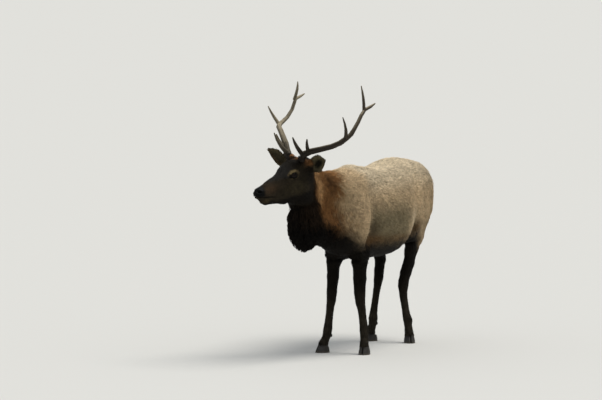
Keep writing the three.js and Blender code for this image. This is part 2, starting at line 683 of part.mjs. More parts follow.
function earPlaced({ side, root, tip, open, length, width }) {
  const level = ([out, back, up]) => new THREE.Vector3(side * out, back, up);
  const z = level(tip).normalize();
  const y = level(open).negate();
  y.addScaledVector(z, -y.dot(z)).normalize();
  const pose = antlerFrame.clone().multiply(new THREE.Matrix4().makeTranslation(...level(root).toArray()))
    .multiply(new THREE.Matrix4().makeBasis(y.clone().cross(z), y, z));
  return earGeometry(length, width).applyMatrix4(pose);
}

// the short tail: a leaf that hangs against the rump, [back, up, half-width, half-thickness]
const TAIL = [[1095, 1312, 18, 16], [1138, 1290, 30, 22], [1166, 1250, 36, 22], [1182, 1200, 34, 20],
  [1185, 1152, 22, 14], [1182, 1124, 8, 6]];

function tailGeometry() {
  const around = 8;
  return ringsGeometry(TAIL.map(([back, up, wide, thick], i) => {
    const [nextBack, nextUp] = TAIL[Math.min(i + 1, TAIL.length - 1)];
    const [lastBack, lastUp] = TAIL[Math.max(i - 1, 0)];
    const lean = Math.atan2(nextUp - lastUp, nextBack - lastBack);
    return Array.from({ length: around }, (_, j) => {
      const angle = -j / around * 2 * Math.PI;
      const off = thick * Math.sin(angle);
      return [wide * Math.cos(angle), back - off * Math.sin(lean), up + off * Math.cos(lean)];
    });
  }));
}

// ---------------------------------------------------------------- antlers

// a tapering horn along a smooth curve, from [out, back, up, radius] stations
function hornGeometry(stations, side, around, stepsEach) {
  const curve = new THREE.CatmullRomCurve3(stations.map(([out, back, up]) =>
    new THREE.Vector3(side * out, back, up).applyMatrix4(antlerFrame)), false, 'centripetal');
  const steps = Math.round((stations.length - 1) * stepsEach);
  const frames = curve.computeFrenetFrames(steps, false);
  const rings = [];
  for (let i = 0; i <= steps; i += 1) {
    const t = i / steps;
    const centre = curve.getPoint(t);
    const station = t * (stations.length - 1);
    const low = Math.min(stations.length - 2, Math.floor(station));
    const radius = mix(stations[low][3], stations[low + 1][3], station - low);
    rings.push(Array.from({ length: around }, (_, j) => {
      const angle = j / around * 2 * Math.PI;
      return centre.clone()
        .addScaledVector(frames.normals[i], radius * Math.cos(angle))
        .addScaledVector(frames.binormals[i], radius * Math.sin(angle)).toArray();
    }));
  }
  return ringsGeometry(rings);
}

// stations of each beam and tine, [out, back, up, radius]
const ANTLERS = {
  left: {
    beam: [[66, 0, -40, 18], [77, 0, -18, 19], [84, 1, -6, 27], [93, 4, 6, 25], [104, 8, 13, 21],
      [135, 21, 28, 20], [220, 51, 50, 18.5], [290, 95, 72, 18],
      [340, 135, 100, 18], [368, 172, 134, 17.5], [384, 200, 160, 16], [390, 224, 195, 15],
      [392, 262, 246, 14], [389, 296, 294, 13.5], [380, 341, 334, 13], [388, 390, 354, 11],
      [390, 434, 376, 4]],
    cut: 9,
    brow: [[84, 2, 0, 15], [90, -46, 40, 12.5], [97, -88, 88, 9.5], [102, -120, 139, 3]],
    bez: [[126, 14, 22, 13], [146, -12, 52, 11], [158, -30, 86, 8.5], [168, -38, 125, 3]],
    trez: [[362, 166, 126, 14.5], [383, 152, 172, 12], [397, 132, 228, 9.5], [401, 102, 293, 3]],
    crown: [[382, 330, 326, 12.5], [368, 340, 392, 11], [357, 340, 450, 8.5], [348, 334, 508, 3]],
  },
  right: {
    beam: [[66, 0, -40, 18], [77, 0, -18, 19], [84, 0, -6, 27], [91, 2, 8, 25], [98, 5, 24, 21],
      [120, 13, 68, 20.5], [170, 30, 118, 19.5], [220, 52, 157, 19],
      [300, 104, 181, 18], [362, 167, 189, 17.5], [390, 206, 196, 16], [397, 240, 212, 15],
      [396, 274, 236, 14], [389, 316, 292, 13], [378, 341, 370, 12.5], [380, 392, 387, 9.5],
      [384, 436, 404, 3.5]],
    cut: 9,
    brow: [[84, 0, 2, 15], [88, -44, 42, 12.5], [95, -86, 92, 9.5], [102, -119, 160, 3]],
    bez: [[104, 8, 44, 13], [134, -10, 62, 11], [154, -26, 96, 8.5], [168, -38, 142, 3]],
    trez: [[352, 158, 188, 14.5], [382, 148, 226, 12], [402, 128, 270, 9.5], [414, 100, 327, 3]],
    crown: [[381, 330, 362, 12.5], [368, 342, 420, 11], [357, 342, 462, 8.5], [348, 335, 502, 3]],
  },
};

function makeAntlers() {
  const rooms = [];
  for (const [name, antler] of Object.entries(ANTLERS)) {
    const side = name === 'left' ? 1 : -1;
    const beamShape = hornGeometry(antler.beam, side, 7, 1);
    const beam = toManifold(beamShape);
    const beamRoom = swollen(beamShape, GAP * 1.3);
    const [before, after] = [antler.beam[antler.cut], antler.beam[antler.cut + 1]].map(([out, back, up]) =>
      new THREE.Vector3(side * out, back, up).applyMatrix4(antlerFrame));
    const onward = after.clone().sub(before).toArray();
    const cutAt = before.clone().lerp(after, 0.5).toArray();
    place(`antler_${name}_beam_lower`, beam.intersect(sideOf(cutAt, opposite(onward), GAP / 2)), antlerBone);
    place(`antler_${name}_beam_upper`, beam.intersect(sideOf(cutAt, onward, GAP / 2)), antlerBone);
    rooms.push(beamRoom);
    for (const tine of ['brow', 'bez', 'trez', 'crown']) {
      const shape = hornGeometry(antler[tine], side, 6, 1.34);
      place(`antler_${name}_${tine}`, toManifold(shape).subtract(beamRoom), antlerBone);
      if (tine === 'brow') rooms.push(swollen(shape, GAP * 2));
    }
  }
  return rooms;
}

// ---------------------------------------------------------------- assembly

const tail = tailGeometry();
place('tail', toManifold(tail), rumpCoat);
makeTrunk(swollen(tail, GAP * 1.5));
makeNeck();
for (const [name, leg] of Object.entries(LEGS)) makeFoot(name, leg, makeLeg(name, leg));

const headRooms = makeAntlers();
for (const [name, pose] of Object.entries(EARS)) {
  const ear = earPlaced(pose);
  place(`ear_${name}`, toManifold(ear), headCoat);
  headRooms.push(swollen(ear, GAP * 1.5));
}
makeHead(headRooms);

const box = new THREE.Box3().setFromObject(elk);
elk.position.set(-(box.min.x + box.max.x) / 2, -(box.min.y + box.max.y) / 2, -box.min.z);

export default elk;
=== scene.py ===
# %% [markdown]
# # A young bull elk, life size
#
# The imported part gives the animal's true outline, out to the tips of its coat, in solids that meet at
# thin gaps. This script turns it into a model as a museum shows it:
#
# 1. one skin, inside the solids by the depth of the coat, with the face modelled into it;
# 2. a coat of tapered locks that lie the way the hair grows;
# 3. eyes, antlers and hooves as pieces of their own;
# 4. materials, light and a camera.
#
# Lengths are metres. The frame is the part's own: +Z up, the animal faces -Y, its left is +X.

import json
import math

import bmesh
import bpy
import numpy as np
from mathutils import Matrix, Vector
from mathutils.bvhtree import BVHTree

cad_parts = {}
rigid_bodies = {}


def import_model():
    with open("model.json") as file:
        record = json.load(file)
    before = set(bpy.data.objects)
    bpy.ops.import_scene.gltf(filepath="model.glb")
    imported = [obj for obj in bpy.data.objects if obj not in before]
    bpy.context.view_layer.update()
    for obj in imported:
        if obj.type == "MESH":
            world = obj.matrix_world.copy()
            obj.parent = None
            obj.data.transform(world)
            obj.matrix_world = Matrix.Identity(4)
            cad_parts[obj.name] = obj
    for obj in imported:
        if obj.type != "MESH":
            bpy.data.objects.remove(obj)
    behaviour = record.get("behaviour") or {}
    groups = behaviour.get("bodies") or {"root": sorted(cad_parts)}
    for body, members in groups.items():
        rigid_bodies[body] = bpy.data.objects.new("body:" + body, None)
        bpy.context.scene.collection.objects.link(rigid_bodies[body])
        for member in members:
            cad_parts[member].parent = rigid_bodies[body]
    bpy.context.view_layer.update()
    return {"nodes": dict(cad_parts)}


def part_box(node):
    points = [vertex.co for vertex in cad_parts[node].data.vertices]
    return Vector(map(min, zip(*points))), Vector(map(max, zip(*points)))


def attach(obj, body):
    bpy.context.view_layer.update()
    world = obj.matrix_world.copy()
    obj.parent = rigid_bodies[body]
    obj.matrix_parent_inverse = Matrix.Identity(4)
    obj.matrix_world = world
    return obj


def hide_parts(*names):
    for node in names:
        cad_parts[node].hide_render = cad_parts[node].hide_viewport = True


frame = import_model()
NODES = frame["nodes"]

# %% [markdown]
# ## Places on the animal
#
# Places could be typed in the frame's own coordinates, but an animal is easier to read in its own terms.
# *Body measures* count from under the middle of the withers, and are found from the left fore hoof.
# *Head measures* are forward from the nape, out to the animal's left and up from the palate, and are
# found from the two eyes, so they turn with the head.

# %% Body and head measures
HOOF_FROM_WITHERS = np.array([0.155, -0.034, 0.0])
EYE_IN_HEAD = np.array([0.229, 0.0675, 0.078])
HEAD_PITCH = math.radians(13.5)
LEGS = ("foreleg_left", "foreleg_right", "hindleg_left", "hindleg_right")
SIDES = {"left": 1, "right": -1}


def box_of(node):
    return (np.array(corner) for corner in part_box(node))


def centre_of(*nodes):
    boxes = np.array([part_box(node) for node in nodes])
    return (boxes[:, 0].min(axis=0) + boxes[:, 1].max(axis=0)) / 2


left_hoof = centre_of("foreleg_left_hoof_inner", "foreleg_left_hoof_outer")
ORIGIN = np.array([left_hoof[0], left_hoof[1], 0.0]) - HOOF_FROM_WITHERS

eye_left, eye_right = centre_of("eye_left"), centre_of("eye_right")
OUT = (eye_left - eye_right) / np.linalg.norm(eye_left - eye_right)
AHEAD = np.cross(OUT, [0, 0, 1])
AHEAD /= np.linalg.norm(AHEAD)
FORWARD = AHEAD * math.cos(HEAD_PITCH) - np.array([0, 0, math.sin(HEAD_PITCH)])
HEAD_UP = np.cross(FORWARD, OUT)
NAPE = (eye_left + eye_right) / 2 - FORWARD * EYE_IN_HEAD[0] - HEAD_UP * EYE_IN_HEAD[2]


def body_measures(points):
    return np.asarray(points) - ORIGIN


def head_measures(points):
    off = np.asarray(points) - NAPE
    return np.stack([off @ FORWARD, off @ OUT, off @ HEAD_UP], axis=-1)


def eye_centre(side):
    return NAPE + FORWARD * EYE_IN_HEAD[0] + OUT * side * EYE_IN_HEAD[1] + HEAD_UP * EYE_IN_HEAD[2]


print("origin", ORIGIN.round(4), "nape", NAPE.round(4), "up", HEAD_UP.round(3))

# %% [markdown]
# ## Small tools
#
# An animal could be sculpted by hand, but a script has to give the same shape each time. So each form
# here is a soft hill, edge or window in the animal's own measures, added to the points of a mesh.
# `ripple` is a smooth random field, a sum of plane waves of about one wavelength, for everything on the
# animal that varies without a pattern.

# %% Soft shapes
def smoothstep(low, high, value):
    share = np.clip((np.asarray(value) - low) / (high - low), 0, 1)
    return share * share * (3 - 2 * share)


def window(rise, full, fall, gone, value):
    """0 up to rise, 1 from full to fall, 0 again from gone."""
    return smoothstep(rise, full, value) * (1 - smoothstep(fall, gone, value))


def bump(value, centre, width):
    return np.exp(-(((np.asarray(value) - centre) / width) ** 2))


def crease(across, steep, soft):
    """1 in the bottom of a crease, falling off fast where across is negative and slowly beyond."""
    return np.exp(-((across / np.where(across < 0, steep, soft)) ** 2))


def normalized(vectors):
    return vectors / np.maximum(np.linalg.norm(vectors, axis=-1, keepdims=True), 1e-9)


def ripple(points, wavelength, seed, waves=14):
    rng = np.random.default_rng(seed)
    directions = normalized(rng.normal(size=(waves, 3)))
    turns = 2 * math.pi / (wavelength * rng.uniform(0.75, 1.35, waves))
    phases = rng.uniform(0, 2 * math.pi, waves)
    total = np.zeros(len(points))
    for direction, turn, phase in zip(directions, turns, phases):
        total += np.sin(points @ direction * turn + phase)
    return total / math.sqrt(waves / 2)


print("a crease 10 mm off its bottom keeps", crease(np.array([0.01]), 0.045, 0.17).round(3)[0])

# %% [markdown]
# ## Meshes as arrays
#
# Blender can move points one by one, but the skin has hundreds of thousands of them. Reading them all
# into an array, changing the array and writing it back takes moments.

# %% Read and write meshes
def mesh_arrays(mesh):
    points = np.empty(len(mesh.vertices) * 3)
    mesh.vertices.foreach_get("co", points)
    edges = np.empty(len(mesh.edges) * 2, dtype=np.int64)
    mesh.edges.foreach_get("vertices", edges)
    return points.reshape(-1, 3), edges.reshape(-1, 2)


def set_points(mesh, points):
    mesh.vertices.foreach_set("co", np.ascontiguousarray(points, dtype=np.float32).ravel())
    mesh.update()


def point_normals(mesh):
    normals = np.empty(len(mesh.vertices) * 3, dtype=np.float32)
    mesh.vertex_normals.foreach_get("vector", normals)
    return normals.reshape(-1, 3).astype(float)


print("points of the trunk's solid", len(mesh_arrays(NODES["trunk"].data)[0]))


# %% Smooth and shade
def neighbour_mean(values, edges, degree):
    total = np.empty_like(values)
    for axis in range(values.shape[1]):
        column = values[:, axis]
        total[:, axis] = np.bincount(edges[:, 0], column[edges[:, 1]], len(values))
        total[:, axis] += np.bincount(edges[:, 1], column[edges[:, 0]], len(values))
    return total / degree[:, None]


def smooth(values, edges, rounds, out_step=-0.53, in_step=0.5, share=None):
    """Pairs of a smoothing step and a swelling step, which take off facets and keep the volume."""
    degree = np.maximum(np.bincount(edges.ravel(), minlength=len(values)), 1)
    values = values.copy()
    for _ in range(rounds):
        for step in (in_step, out_step):
            if step:
                move = (neighbour_mean(values, edges, degree) - values) * step
                values += move if share is None else move * share[:, None]
    return values


def shade_smooth(mesh):
    mesh.polygons.foreach_set("use_smooth", np.ones(len(mesh.polygons), dtype=bool))


def store(mesh, name, values, kind="FLOAT"):
    layer = mesh.attributes.new(name, kind, "POINT")
    field = "vector" if kind == "FLOAT_VECTOR" else "value"
    layer.data.foreach_set(field, np.ascontiguousarray(values, np.float32).ravel())


# %% Make objects from arrays
def new_object(name, data):
    made = bpy.data.objects.new(name, data)
    bpy.context.scene.collection.objects.link(made)
    return made


def triangle_mesh(name, points, triangles):
    mesh = bpy.data.meshes.new(name)
    mesh.vertices.add(len(points))
    mesh.loops.add(triangles.size)
    mesh.polygons.add(len(triangles))
    mesh.vertices.foreach_set("co", points.astype(np.float32).ravel())
    mesh.loops.foreach_set("vertex_index", triangles.astype(np.int32).ravel())
    mesh.polygons.foreach_set("loop_start", np.arange(0, triangles.size, 3, dtype=np.int32))
    mesh.update(calc_edges=True)
    shade_smooth(mesh)
    return mesh


def from_arrays(name, points, faces):
    mesh = bpy.data.meshes.new(name)
    mesh.from_pydata([tuple(p) for p in points], [], [tuple(f) for f in faces])
    mesh.validate()
    shade_smooth(mesh)
    return new_object(name, mesh)


def evaluated_mesh(made):
    """The object's mesh with its modifiers applied, and the modifiers gone."""
    depsgraph = bpy.context.evaluated_depsgraph_get()
    mesh = bpy.data.meshes.new_from_object(made.evaluated_get(depsgraph), depsgraph=depsgraph)
    old = made.data
    made.modifiers.clear()
    made.data = mesh
    bpy.data.meshes.remove(old)
    return mesh


# %% [markdown]
# ## Wrapping solids in one mesh
#
# Solids can be joined with booleans, but the part's have gaps between them. A voxel remesh wraps swollen
# copies of them in one closed mesh of even faces, which a thin gap doesn't interrupt.

# %% Wrap copies of nodes
WELD = 1e-5


def solid_copy(name, nodes, swell, voxel, shells=1):
    """A closed mesh round copies of CAD nodes, each swollen a little so that the gaps close."""
    merged = bmesh.new()
    for node in nodes:
        part = bmesh.new()
        part.from_mesh(NODES[node].data)
        bmesh.ops.remove_doubles(part, verts=part.verts, dist=WELD)
        bmesh.ops.recalc_face_normals(part, faces=part.faces)
        part.normal_update()
        for vert in part.verts:
            vert.co += vert.normal * swell
        held = bpy.data.meshes.new("part")
        part.to_mesh(held)
        part.free()
        merged.from_mesh(held)
        bpy.data.meshes.remove(held)
    mesh = bpy.data.meshes.new(name)
    merged.to_mesh(mesh)
    merged.free()
    made = new_object(name, mesh)
    remesh = made.modifiers.new("remesh", "REMESH")
    remesh.mode = "VOXEL"
    remesh.voxel_size = voxel
    evaluated_mesh(made)
    if shells == 1:
        keep_largest(made)
    return made


# %% Keep one closed shell
def drop_points(mesh, dropped):
    shell = bmesh.new()
    shell.from_mesh(mesh)
    shell.verts.ensure_lookup_table()
    bmesh.ops.delete(shell, geom=[shell.verts[i] for i in dropped], context="VERTS")
    shell.to_mesh(mesh)
    shell.free()


def keep_largest(made):
    """Drops every closed shell but the biggest, such as a bubble where two nodes met."""
    points, edges = mesh_arrays(made.data)
    label = np.arange(len(points))
    while True:
        low = np.minimum(label[edges[:, 0]], label[edges[:, 1]])
        before = label.copy()
        np.minimum.at(label, edges[:, 0], low)
        np.minimum.at(label, edges[:, 1], low)
        label = label[label]
        if np.array_equal(before, label):
            break
    loose = np.flatnonzero(label != np.bincount(label).argmax())
    if len(loose):
        drop_points(made.data, loose)
    print(made.name, "vertices", len(made.data.vertices), "dropped", len(loose))


# %% [markdown]
# ## One skin for all the flesh
#
# An elk's hide runs unbroken from nose to coronet, so the flesh nodes are wrapped together. The copies of
# the eyes go in too, so that no hollow stays under the lids. Smoothing in pairs of steps takes the facets
# off without shrinking a leg, which plain smoothing would do.

# %% The skin, out to the tips of the coat
FLESH = ["trunk", "neck", "head", "tail", "ear_left", "ear_right"]
FLESH += [f"{leg}_{part}" for leg in LEGS for part in
          ("forearm" if leg.startswith("fore") else "thigh", "cannon")]
SKIN_VOXEL = 0.0038
SKIN_SWELL = 0.0012

skin = solid_copy("skin", [*FLESH, "eye_left", "eye_right"], SKIN_SWELL, SKIN_VOXEL)
outer, edges = mesh_arrays(skin.data)
outer = smooth(outer, edges, 30)

# %% [markdown]
# ## Muscles and creases of the body
#
# The shoulder stands over the ribs, the flank tucks in before the haunch, and ribs, blade and hip bone
# show a little. A normal map could draw these, but they also shape the light on the coat, so they are
# moves along the skin's own normal. A crease is steep on one side and soft on the other.

# %% Forms of the trunk and legs
# edges that run down the side: heights, and how far back each is there
SHOULDER_EDGE = ([0.74, 0.82, 0.95, 1.08, 1.20, 1.32], [-0.020, -0.035, -0.045, -0.040, -0.020, 0.040])
HAUNCH_EDGE = ([0.80, 0.88, 0.93, 1.02, 1.13, 1.24, 1.34], [0.70, 0.700, 0.695, 0.665, 0.67, 0.73, 0.82])
BLADE_EDGE = ([1.0, 1.32], [-0.14, 0.04])
RIB_SPACING, RIB_SLANT, RIB_HEIGHT = 0.062, 0.22, 0.0016
FULLER_LEGS, FULLER_RUMP = 0.0045, 0.0050
MOST_OUT = 0.004   # no form stands out farther than this


def behind_shoulder(y, z):
    """How far behind the shoulder's rear edge, which hangs over the ribs."""
    return y - np.interp(z, *SHOULDER_EDGE)


def body_forms(points):
    x, y, z = body_measures(points).T
    width = np.abs(x)
    side = smoothstep(0.08, 0.16, width)
    gone = behind_shoulder(y, z)
    shoulder = window(0.72, 0.80, 1.14, 1.30, z) * side
    move = 0.006 * bump(gone, -0.08, 0.05) * shoulder
    move -= (0.018 + 0.012 * (1 - smoothstep(0.90, 1.05, z))) * crease(gone, 0.045, 0.17) * shoulder
    before_haunch = y - np.interp(z, *HAUNCH_EDGE)
    haunch = window(0.74, 0.84, 1.20, 1.34, z) * side
    move += 0.008 * bump(before_haunch, 0.10, 0.07) * haunch
    move -= (0.012 + 0.018 * (1 - smoothstep(0.88, 1.05, z))) * crease(-before_haunch, 0.03, 0.09) * haunch
    hip_bone = bump(y, 0.74, 0.05) * bump(z, 1.30, 0.035) * bump(width, 0.17, 0.05)
    point_of_shoulder = bump(y, -0.17, 0.05) * bump(z, 1.02, 0.05) * side
    move += 0.006 * (hip_bone + point_of_shoulder)
    ribs = np.sin((y + RIB_SLANT * (z - 1.0)) * 2 * math.pi / RIB_SPACING)
    move += RIB_HEIGHT * ribs * bump(y, 0.34, 0.16) * bump(z, 1.02, 0.13) * side
    rear = smoothstep(0.96, 1.04, y) * window(0.78, 0.84, 1.06, 1.14, z)
    move -= (0.024 * bump(x, 0, 0.024) + 0.006 * bump(width, 0.125, 0.022)) * rear
    blade = bump(y - np.interp(z, *BLADE_EDGE), 0, 0.022)
    move += 0.005 * blade * window(1.02, 1.1, 1.24, 1.33, z) * side
    move += FULLER_LEGS * window(0.12, 0.20, 0.68, 0.80, z)
    move += FULLER_RUMP * smoothstep(0.70, 0.95, y) * smoothstep(0.95, 1.10, z)
    return move + 0.0022 * ripple(points, 0.16, seed=3) * smoothstep(0.72, 0.85, z)


print("ribs every", RIB_SPACING, "and", RIB_HEIGHT, "high")


# %% Smooth the seams, then add the forms
SEAM_REACH = 0.016


def behind_neck(points):
    """How far behind the plane that parts the neck from the trunk."""
    x, y, z = body_measures(points).T
    return 0.16 * (x + 0.020) + 0.93 * (y + 0.205) - 0.33 * (z - 1.120)


def seam_share(points):
    """1 on the planes that part the nodes, where the wrapped copies leave small steps."""
    _, y, z = body_measures(points).T
    forward, _, up = head_measures(points).T
    planes = (behind_neck(points),
              np.where(y < 0.4, z - 0.697, 0.9225 * (z - 0.766) - 0.386 * (y - 0.850)),
              np.where(up < 0.02, up + 0.150, 1.0),
              np.where(up > -0.16, 0.94 * (forward - 0.048) + 0.34 * (up - 0.040), 1.0))
    return np.max([bump(plane, 0, SEAM_REACH) for plane in planes], axis=0)


outer = smooth(outer, edges, 24, out_step=0, share=seam_share(outer))
set_points(skin.data, outer)
forms = np.minimum(body_forms(outer), MOST_OUT)
outer += point_normals(skin.data) * forms[:, None]
outer = smooth(outer, edges, 4)
print("forms from", forms.min().round(4), "to", forms.max().round(4))

# %% [markdown]
# ## Regions
#
# Coat depth, lie and markings all change from region to region, and a hard border would show as a line
# in the fur. So each region is a soft share from 0 to 1 at every point, told from the body and head
# measures alone.

# %% Regions
def near_box(points, node, reach):
    """1 inside a node's box, falling to 0 at reach outside it."""
    low, high = box_of(node)
    apart = np.maximum(np.maximum(low - points, points - high), 0)
    return 1 - smoothstep(0, reach, np.linalg.norm(apart, axis=1))


def regions(points):
    x, y, z = body_measures(points).T
    forward, out, up = head_measures(points).T
    width = np.abs(x)
    ear = np.maximum(near_box(points, "ear_left", 0.012), near_box(points, "ear_right", 0.012))
    ear *= smoothstep(0.112, 0.132, np.abs(out)) * smoothstep(0.05, 0.09, up)
    head = smoothstep(-0.135, -0.075, forward + 0.35 * up + 0.03) * smoothstep(-0.175, -0.135, up)
    head *= smoothstep(0.02, 0.09, forward + 0.34 * up) * (1 - ear)
    neck = (1 - smoothstep(-0.05, 0.09, behind_neck(points))) * (1 - head) * (1 - ear)
    fore = (1 - smoothstep(0.66, 0.76, z)) * (1 - smoothstep(0.30, 0.38, y))
    hind = (1 - smoothstep(0.66, 0.80, z - 0.40 * (y - 0.85))) * smoothstep(0.50, 0.58, y)
    return {
        "ear": ear, "head": head, "neck": neck,
        "fore": fore * smoothstep(0.02, 0.05, width),
        "hind": hind * smoothstep(0.03, 0.07, width),
        "shin": 1 - smoothstep(0.42, 0.60, z),
        "tail": near_box(points, "tail", 0.02) * smoothstep(1.125, 1.155, y),
        "mane": neck * (1 - smoothstep(1.10, 1.33, z + 0.55 * (y + 0.45))),
        "belly": (1 - smoothstep(0.70, 0.84, z)) * window(0.05, 0.2, 0.75, 0.95, y),
    }


parts = regions(outer)
for name, share in parts.items():
    print(name, "share", round(float(share.mean()), 3))

# %% [markdown]
# ## The ears' outline
#
# The solids give each ear's place and turn in straight facets. A live ear is a smooth oval with a
# pointed tip, so each ear's edge is drawn to one, measured along the ear's own two widest directions.

# %% Round the ears
OVAL = {"half_width": 0.56, "widest_at": 0.45, "half_length": 0.60, "places": 21, "slot": 0.05}
DRAWN_IN = {"amount": 0.52, "at": 0.48, "reach": 0.27}   # the right ear's upper edge


def ear_measures(points, share, side):
    """Which points are on this ear, how far they are along and over from its middle, and that way over."""
    here = (share["ear"] > 0.3) & (head_measures(points)[:, 1] * side > 0)
    middle = points[here] - points[here].mean(axis=0)
    _, _, axes = np.linalg.svd(middle, full_matrices=False)
    over = axes[1] * np.sign(axes[1] @ HEAD_UP)
    return here, middle @ (axes[0] * np.sign(axes[0] @ OUT) * side), middle @ over, over


def oval_gain(reach, off):
    """How far each point of an ear goes over to give the ear an oval outline."""
    places = np.linspace(0, 1, OVAL["places"])
    from_widest = (places - OVAL["widest_at"]) / OVAL["half_length"]
    oval = OVAL["half_width"] * np.ptp(off) * np.sqrt(1 - from_widest ** 2)
    wider = []
    for way in (1, -1):
        slots = [(np.abs(reach - place) < OVAL["slot"]) & (off * way > 0) for place in places]
        edge = [np.abs(off[slot]).max() for slot in slots]
        wider.append(np.interp(reach, places, np.clip(oval / edge, 0.5, 1.5)))
    return off * (np.where(off > 0, *wider) - 1) * smoothstep(0.10, 0.40, reach)


def shaped_ears(points, part):
    for side in SIDES.values():
        here, along, off, over = ear_measures(points, part, side)
        reach = (along - along.min()) / np.ptp(along)
        if side > 0:
            gain = oval_gain(reach, off)
        else:
            gain = -DRAWN_IN["amount"] * np.clip(off, 0, None)
            gain *= bump(reach, DRAWN_IN["at"], DRAWN_IN["reach"])
        points[here] += over * (gain * smoothstep(0.3, 0.6, part["ear"][here]))[:, None]
        print("ear", side, np.ptp(along).round(3), "long", np.ptp(off).round(3), "wide")
    return points


outer = shaped_ears(outer, parts)

# %% [markdown]
# ## Coat depth and the skin inside it
#
# The outline so far is that of the hair's tips. The skin under it could be a plain scaled copy, but the
# coat is a few millimetres deep on the face and shins, a centimetre on the body and four under the mane,
# so the skin moves in by a depth of its own at each point.

# %% Inset by the depth of the coat
BODY_DEPTH, NECK_MORE, MANE_MORE = 0.0095, 0.007, 0.030
DEPTHS = {"leg": 0.0048, "shin": 0.0026, "head": 0.0040, "tail": 0.009, "ear": 0.0012}
FACE_DEPTH = 0.0022
CLAW_REACH = 0.026
CLAWS = [centre_of(f"{leg}_dewclaw_{side}") for leg in LEGS for side in ("inner", "outer")]


def near_claws(points):
    return np.max([bump(np.linalg.norm(points - claw, axis=1), 0, CLAW_REACH) for claw in CLAWS], axis=0)


def coat_depth(points, part):
    depth = BODY_DEPTH + NECK_MORE * part["neck"] + MANE_MORE * part["mane"]
    leg = np.maximum(part["fore"], part["hind"])
    for name, value in DEPTHS.items():
        depth += (value - depth) * (leg if name == "leg" else part[name])
    depth += (FACE_DEPTH - depth) * part["head"] * smoothstep(0.16, 0.40, head_measures(points)[:, 0])
    return depth * (1 - 0.8 * near_claws(points))


outer_depth = coat_depth(outer, parts)
set_points(skin.data, outer)
OUTLINE = BVHTree.FromPolygons([Vector(p) for p in outer], [tuple(f.vertices) for f in skin.data.polygons])
inner = outer - point_normals(skin.data) * outer_depth[:, None]
inner = smooth(inner, edges, 3)
set_points(skin.data, inner)
print("coat depth", outer_depth.min().round(4), outer_depth.max().round(4))

# %% [markdown]
# ## The face
#
# A deer's face is bone with thin muscle over it: a ridge below the eye, a hollow before the jaw muscle, a
# dip at the temple and a brow over the eye. Each is a move in head measures, so it sits the same way on
# both sides of the turned head.

# %% Broad forms of the face
HEAD_HALF_WIDTH = 0.12
FACE_FORMS = [   # what, height, place and reach forward, place and reach up, start and full width out
    ("hollow before the jaw", -0.0045, 0.360, 0.060, -0.012, 0.018, 0.020, 0.035),
    ("jaw muscle", 0.0050, 0.185, 0.055, -0.045, 0.045, 0.030, 0.050),
    ("hollow over the jawbone", -0.0050, 0.285, 0.030, -0.070, 0.030, 0.020, 0.040),
    ("temple", -0.0050, 0.175, 0.030, 0.100, 0.022, 0.040, 0.060),
    ("brow", 0.0040, 0.225, 0.035, 0.112, 0.010, 0.045, 0.060),
]


def on_the_head(points):
    forward, out, up = head_measures(points).T
    return smoothstep(0.0, 0.05, forward) * smoothstep(-0.16, -0.10, up) * (np.abs(out) < HEAD_HALF_WIDTH)


def face_forms(points):
    forward, out, up = head_measures(points).T
    width = np.abs(out)
    cheekbone = bump(width, 0.072, 0.03) * bump(up - (0.052 - 0.30 * (forward - 0.24)), 0, 0.011)
    move = 0.0035 * cheekbone * window(0.19, 0.26, 0.35, 0.43, forward)
    for _, height, ahead, ahead_reach, high, high_reach, start, full in FACE_FORMS:
        shape = bump(forward, ahead, ahead_reach) * bump(up, high, high_reach)
        move += height * shape * smoothstep(start, full, width)
    return move * on_the_head(points)


moved = face_forms(inner)
inner += point_normals(skin.data) * moved[:, None]
set_points(skin.data, inner)
print("face forms from", moved.min().round(4), "to", moved.max().round(4))

# %% [markdown]
# ## Fewer faces on the body, more round eyes and lips
#
# Even faces fine enough for an eyelid would be far too many on the barrel, where locks cover the skin.
# The mesh is kept on the face and ears and thinned on the body, and round the eyes, the nostrils and the
# mouth it is split finer still.

# %% Thin the skin
SKIN_TRIANGLES = 135_000
LEVELS = 8

share = regions(inner)
fine = np.clip(share["head"] * smoothstep(0.10, 0.26, head_measures(inner)[:, 0]) + share["ear"], 0, 1)
count = len(skin.data.polygons) * 2
if count > SKIN_TRIANGLES:
    held = skin.vertex_groups.new(name="thin")
    levels = np.round((1 - 0.97 * fine) * LEVELS) / LEVELS
    for level in np.unique(levels):
        held.add(np.flatnonzero(levels == level).tolist(), float(level), "REPLACE")
    thin = skin.modifiers.new("thin", "DECIMATE")
    thin.ratio = SKIN_TRIANGLES / count
    thin.vertex_group = "thin"
    thin.vertex_group_factor = 1.0
    thin.use_collapse_triangulate = True
    evaluated_mesh(skin)
    skin.vertex_groups.clear()
print("skin thinned from", count, "to", len(skin.data.polygons))

# %% Where the mouth and nostrils are
MOUTH = [(0.585, 0.016), (0.545, 0.006), (0.500, -0.008), (0.450, -0.021), (0.408, -0.034)]   # forward, up
NOSTRIL = (0.541, 0.0265, 0.044)   # forward, out, up


def away_from_line(forward, up, line):
    """Distance from a line of (forward, up) points, signed: above the line is positive."""
    best = np.full(len(forward), 9.0)
    sign = np.ones(len(forward))
    for (f0, u0), (f1, u1) in zip(line, line[1:]):
        df, du = f1 - f0, u1 - u0
        t = np.clip(((forward - f0) * df + (up - u0) * du) / (df * df + du * du), 0, 1)
        gone = np.hypot(forward - f0 - t * df, up - u0 - t * du)
        closer = gone < best
        best = np.where(closer, gone, best)
        sign = np.where(closer, np.sign((up - u0) * -df + (forward - f0) * du), sign)
    return best * sign


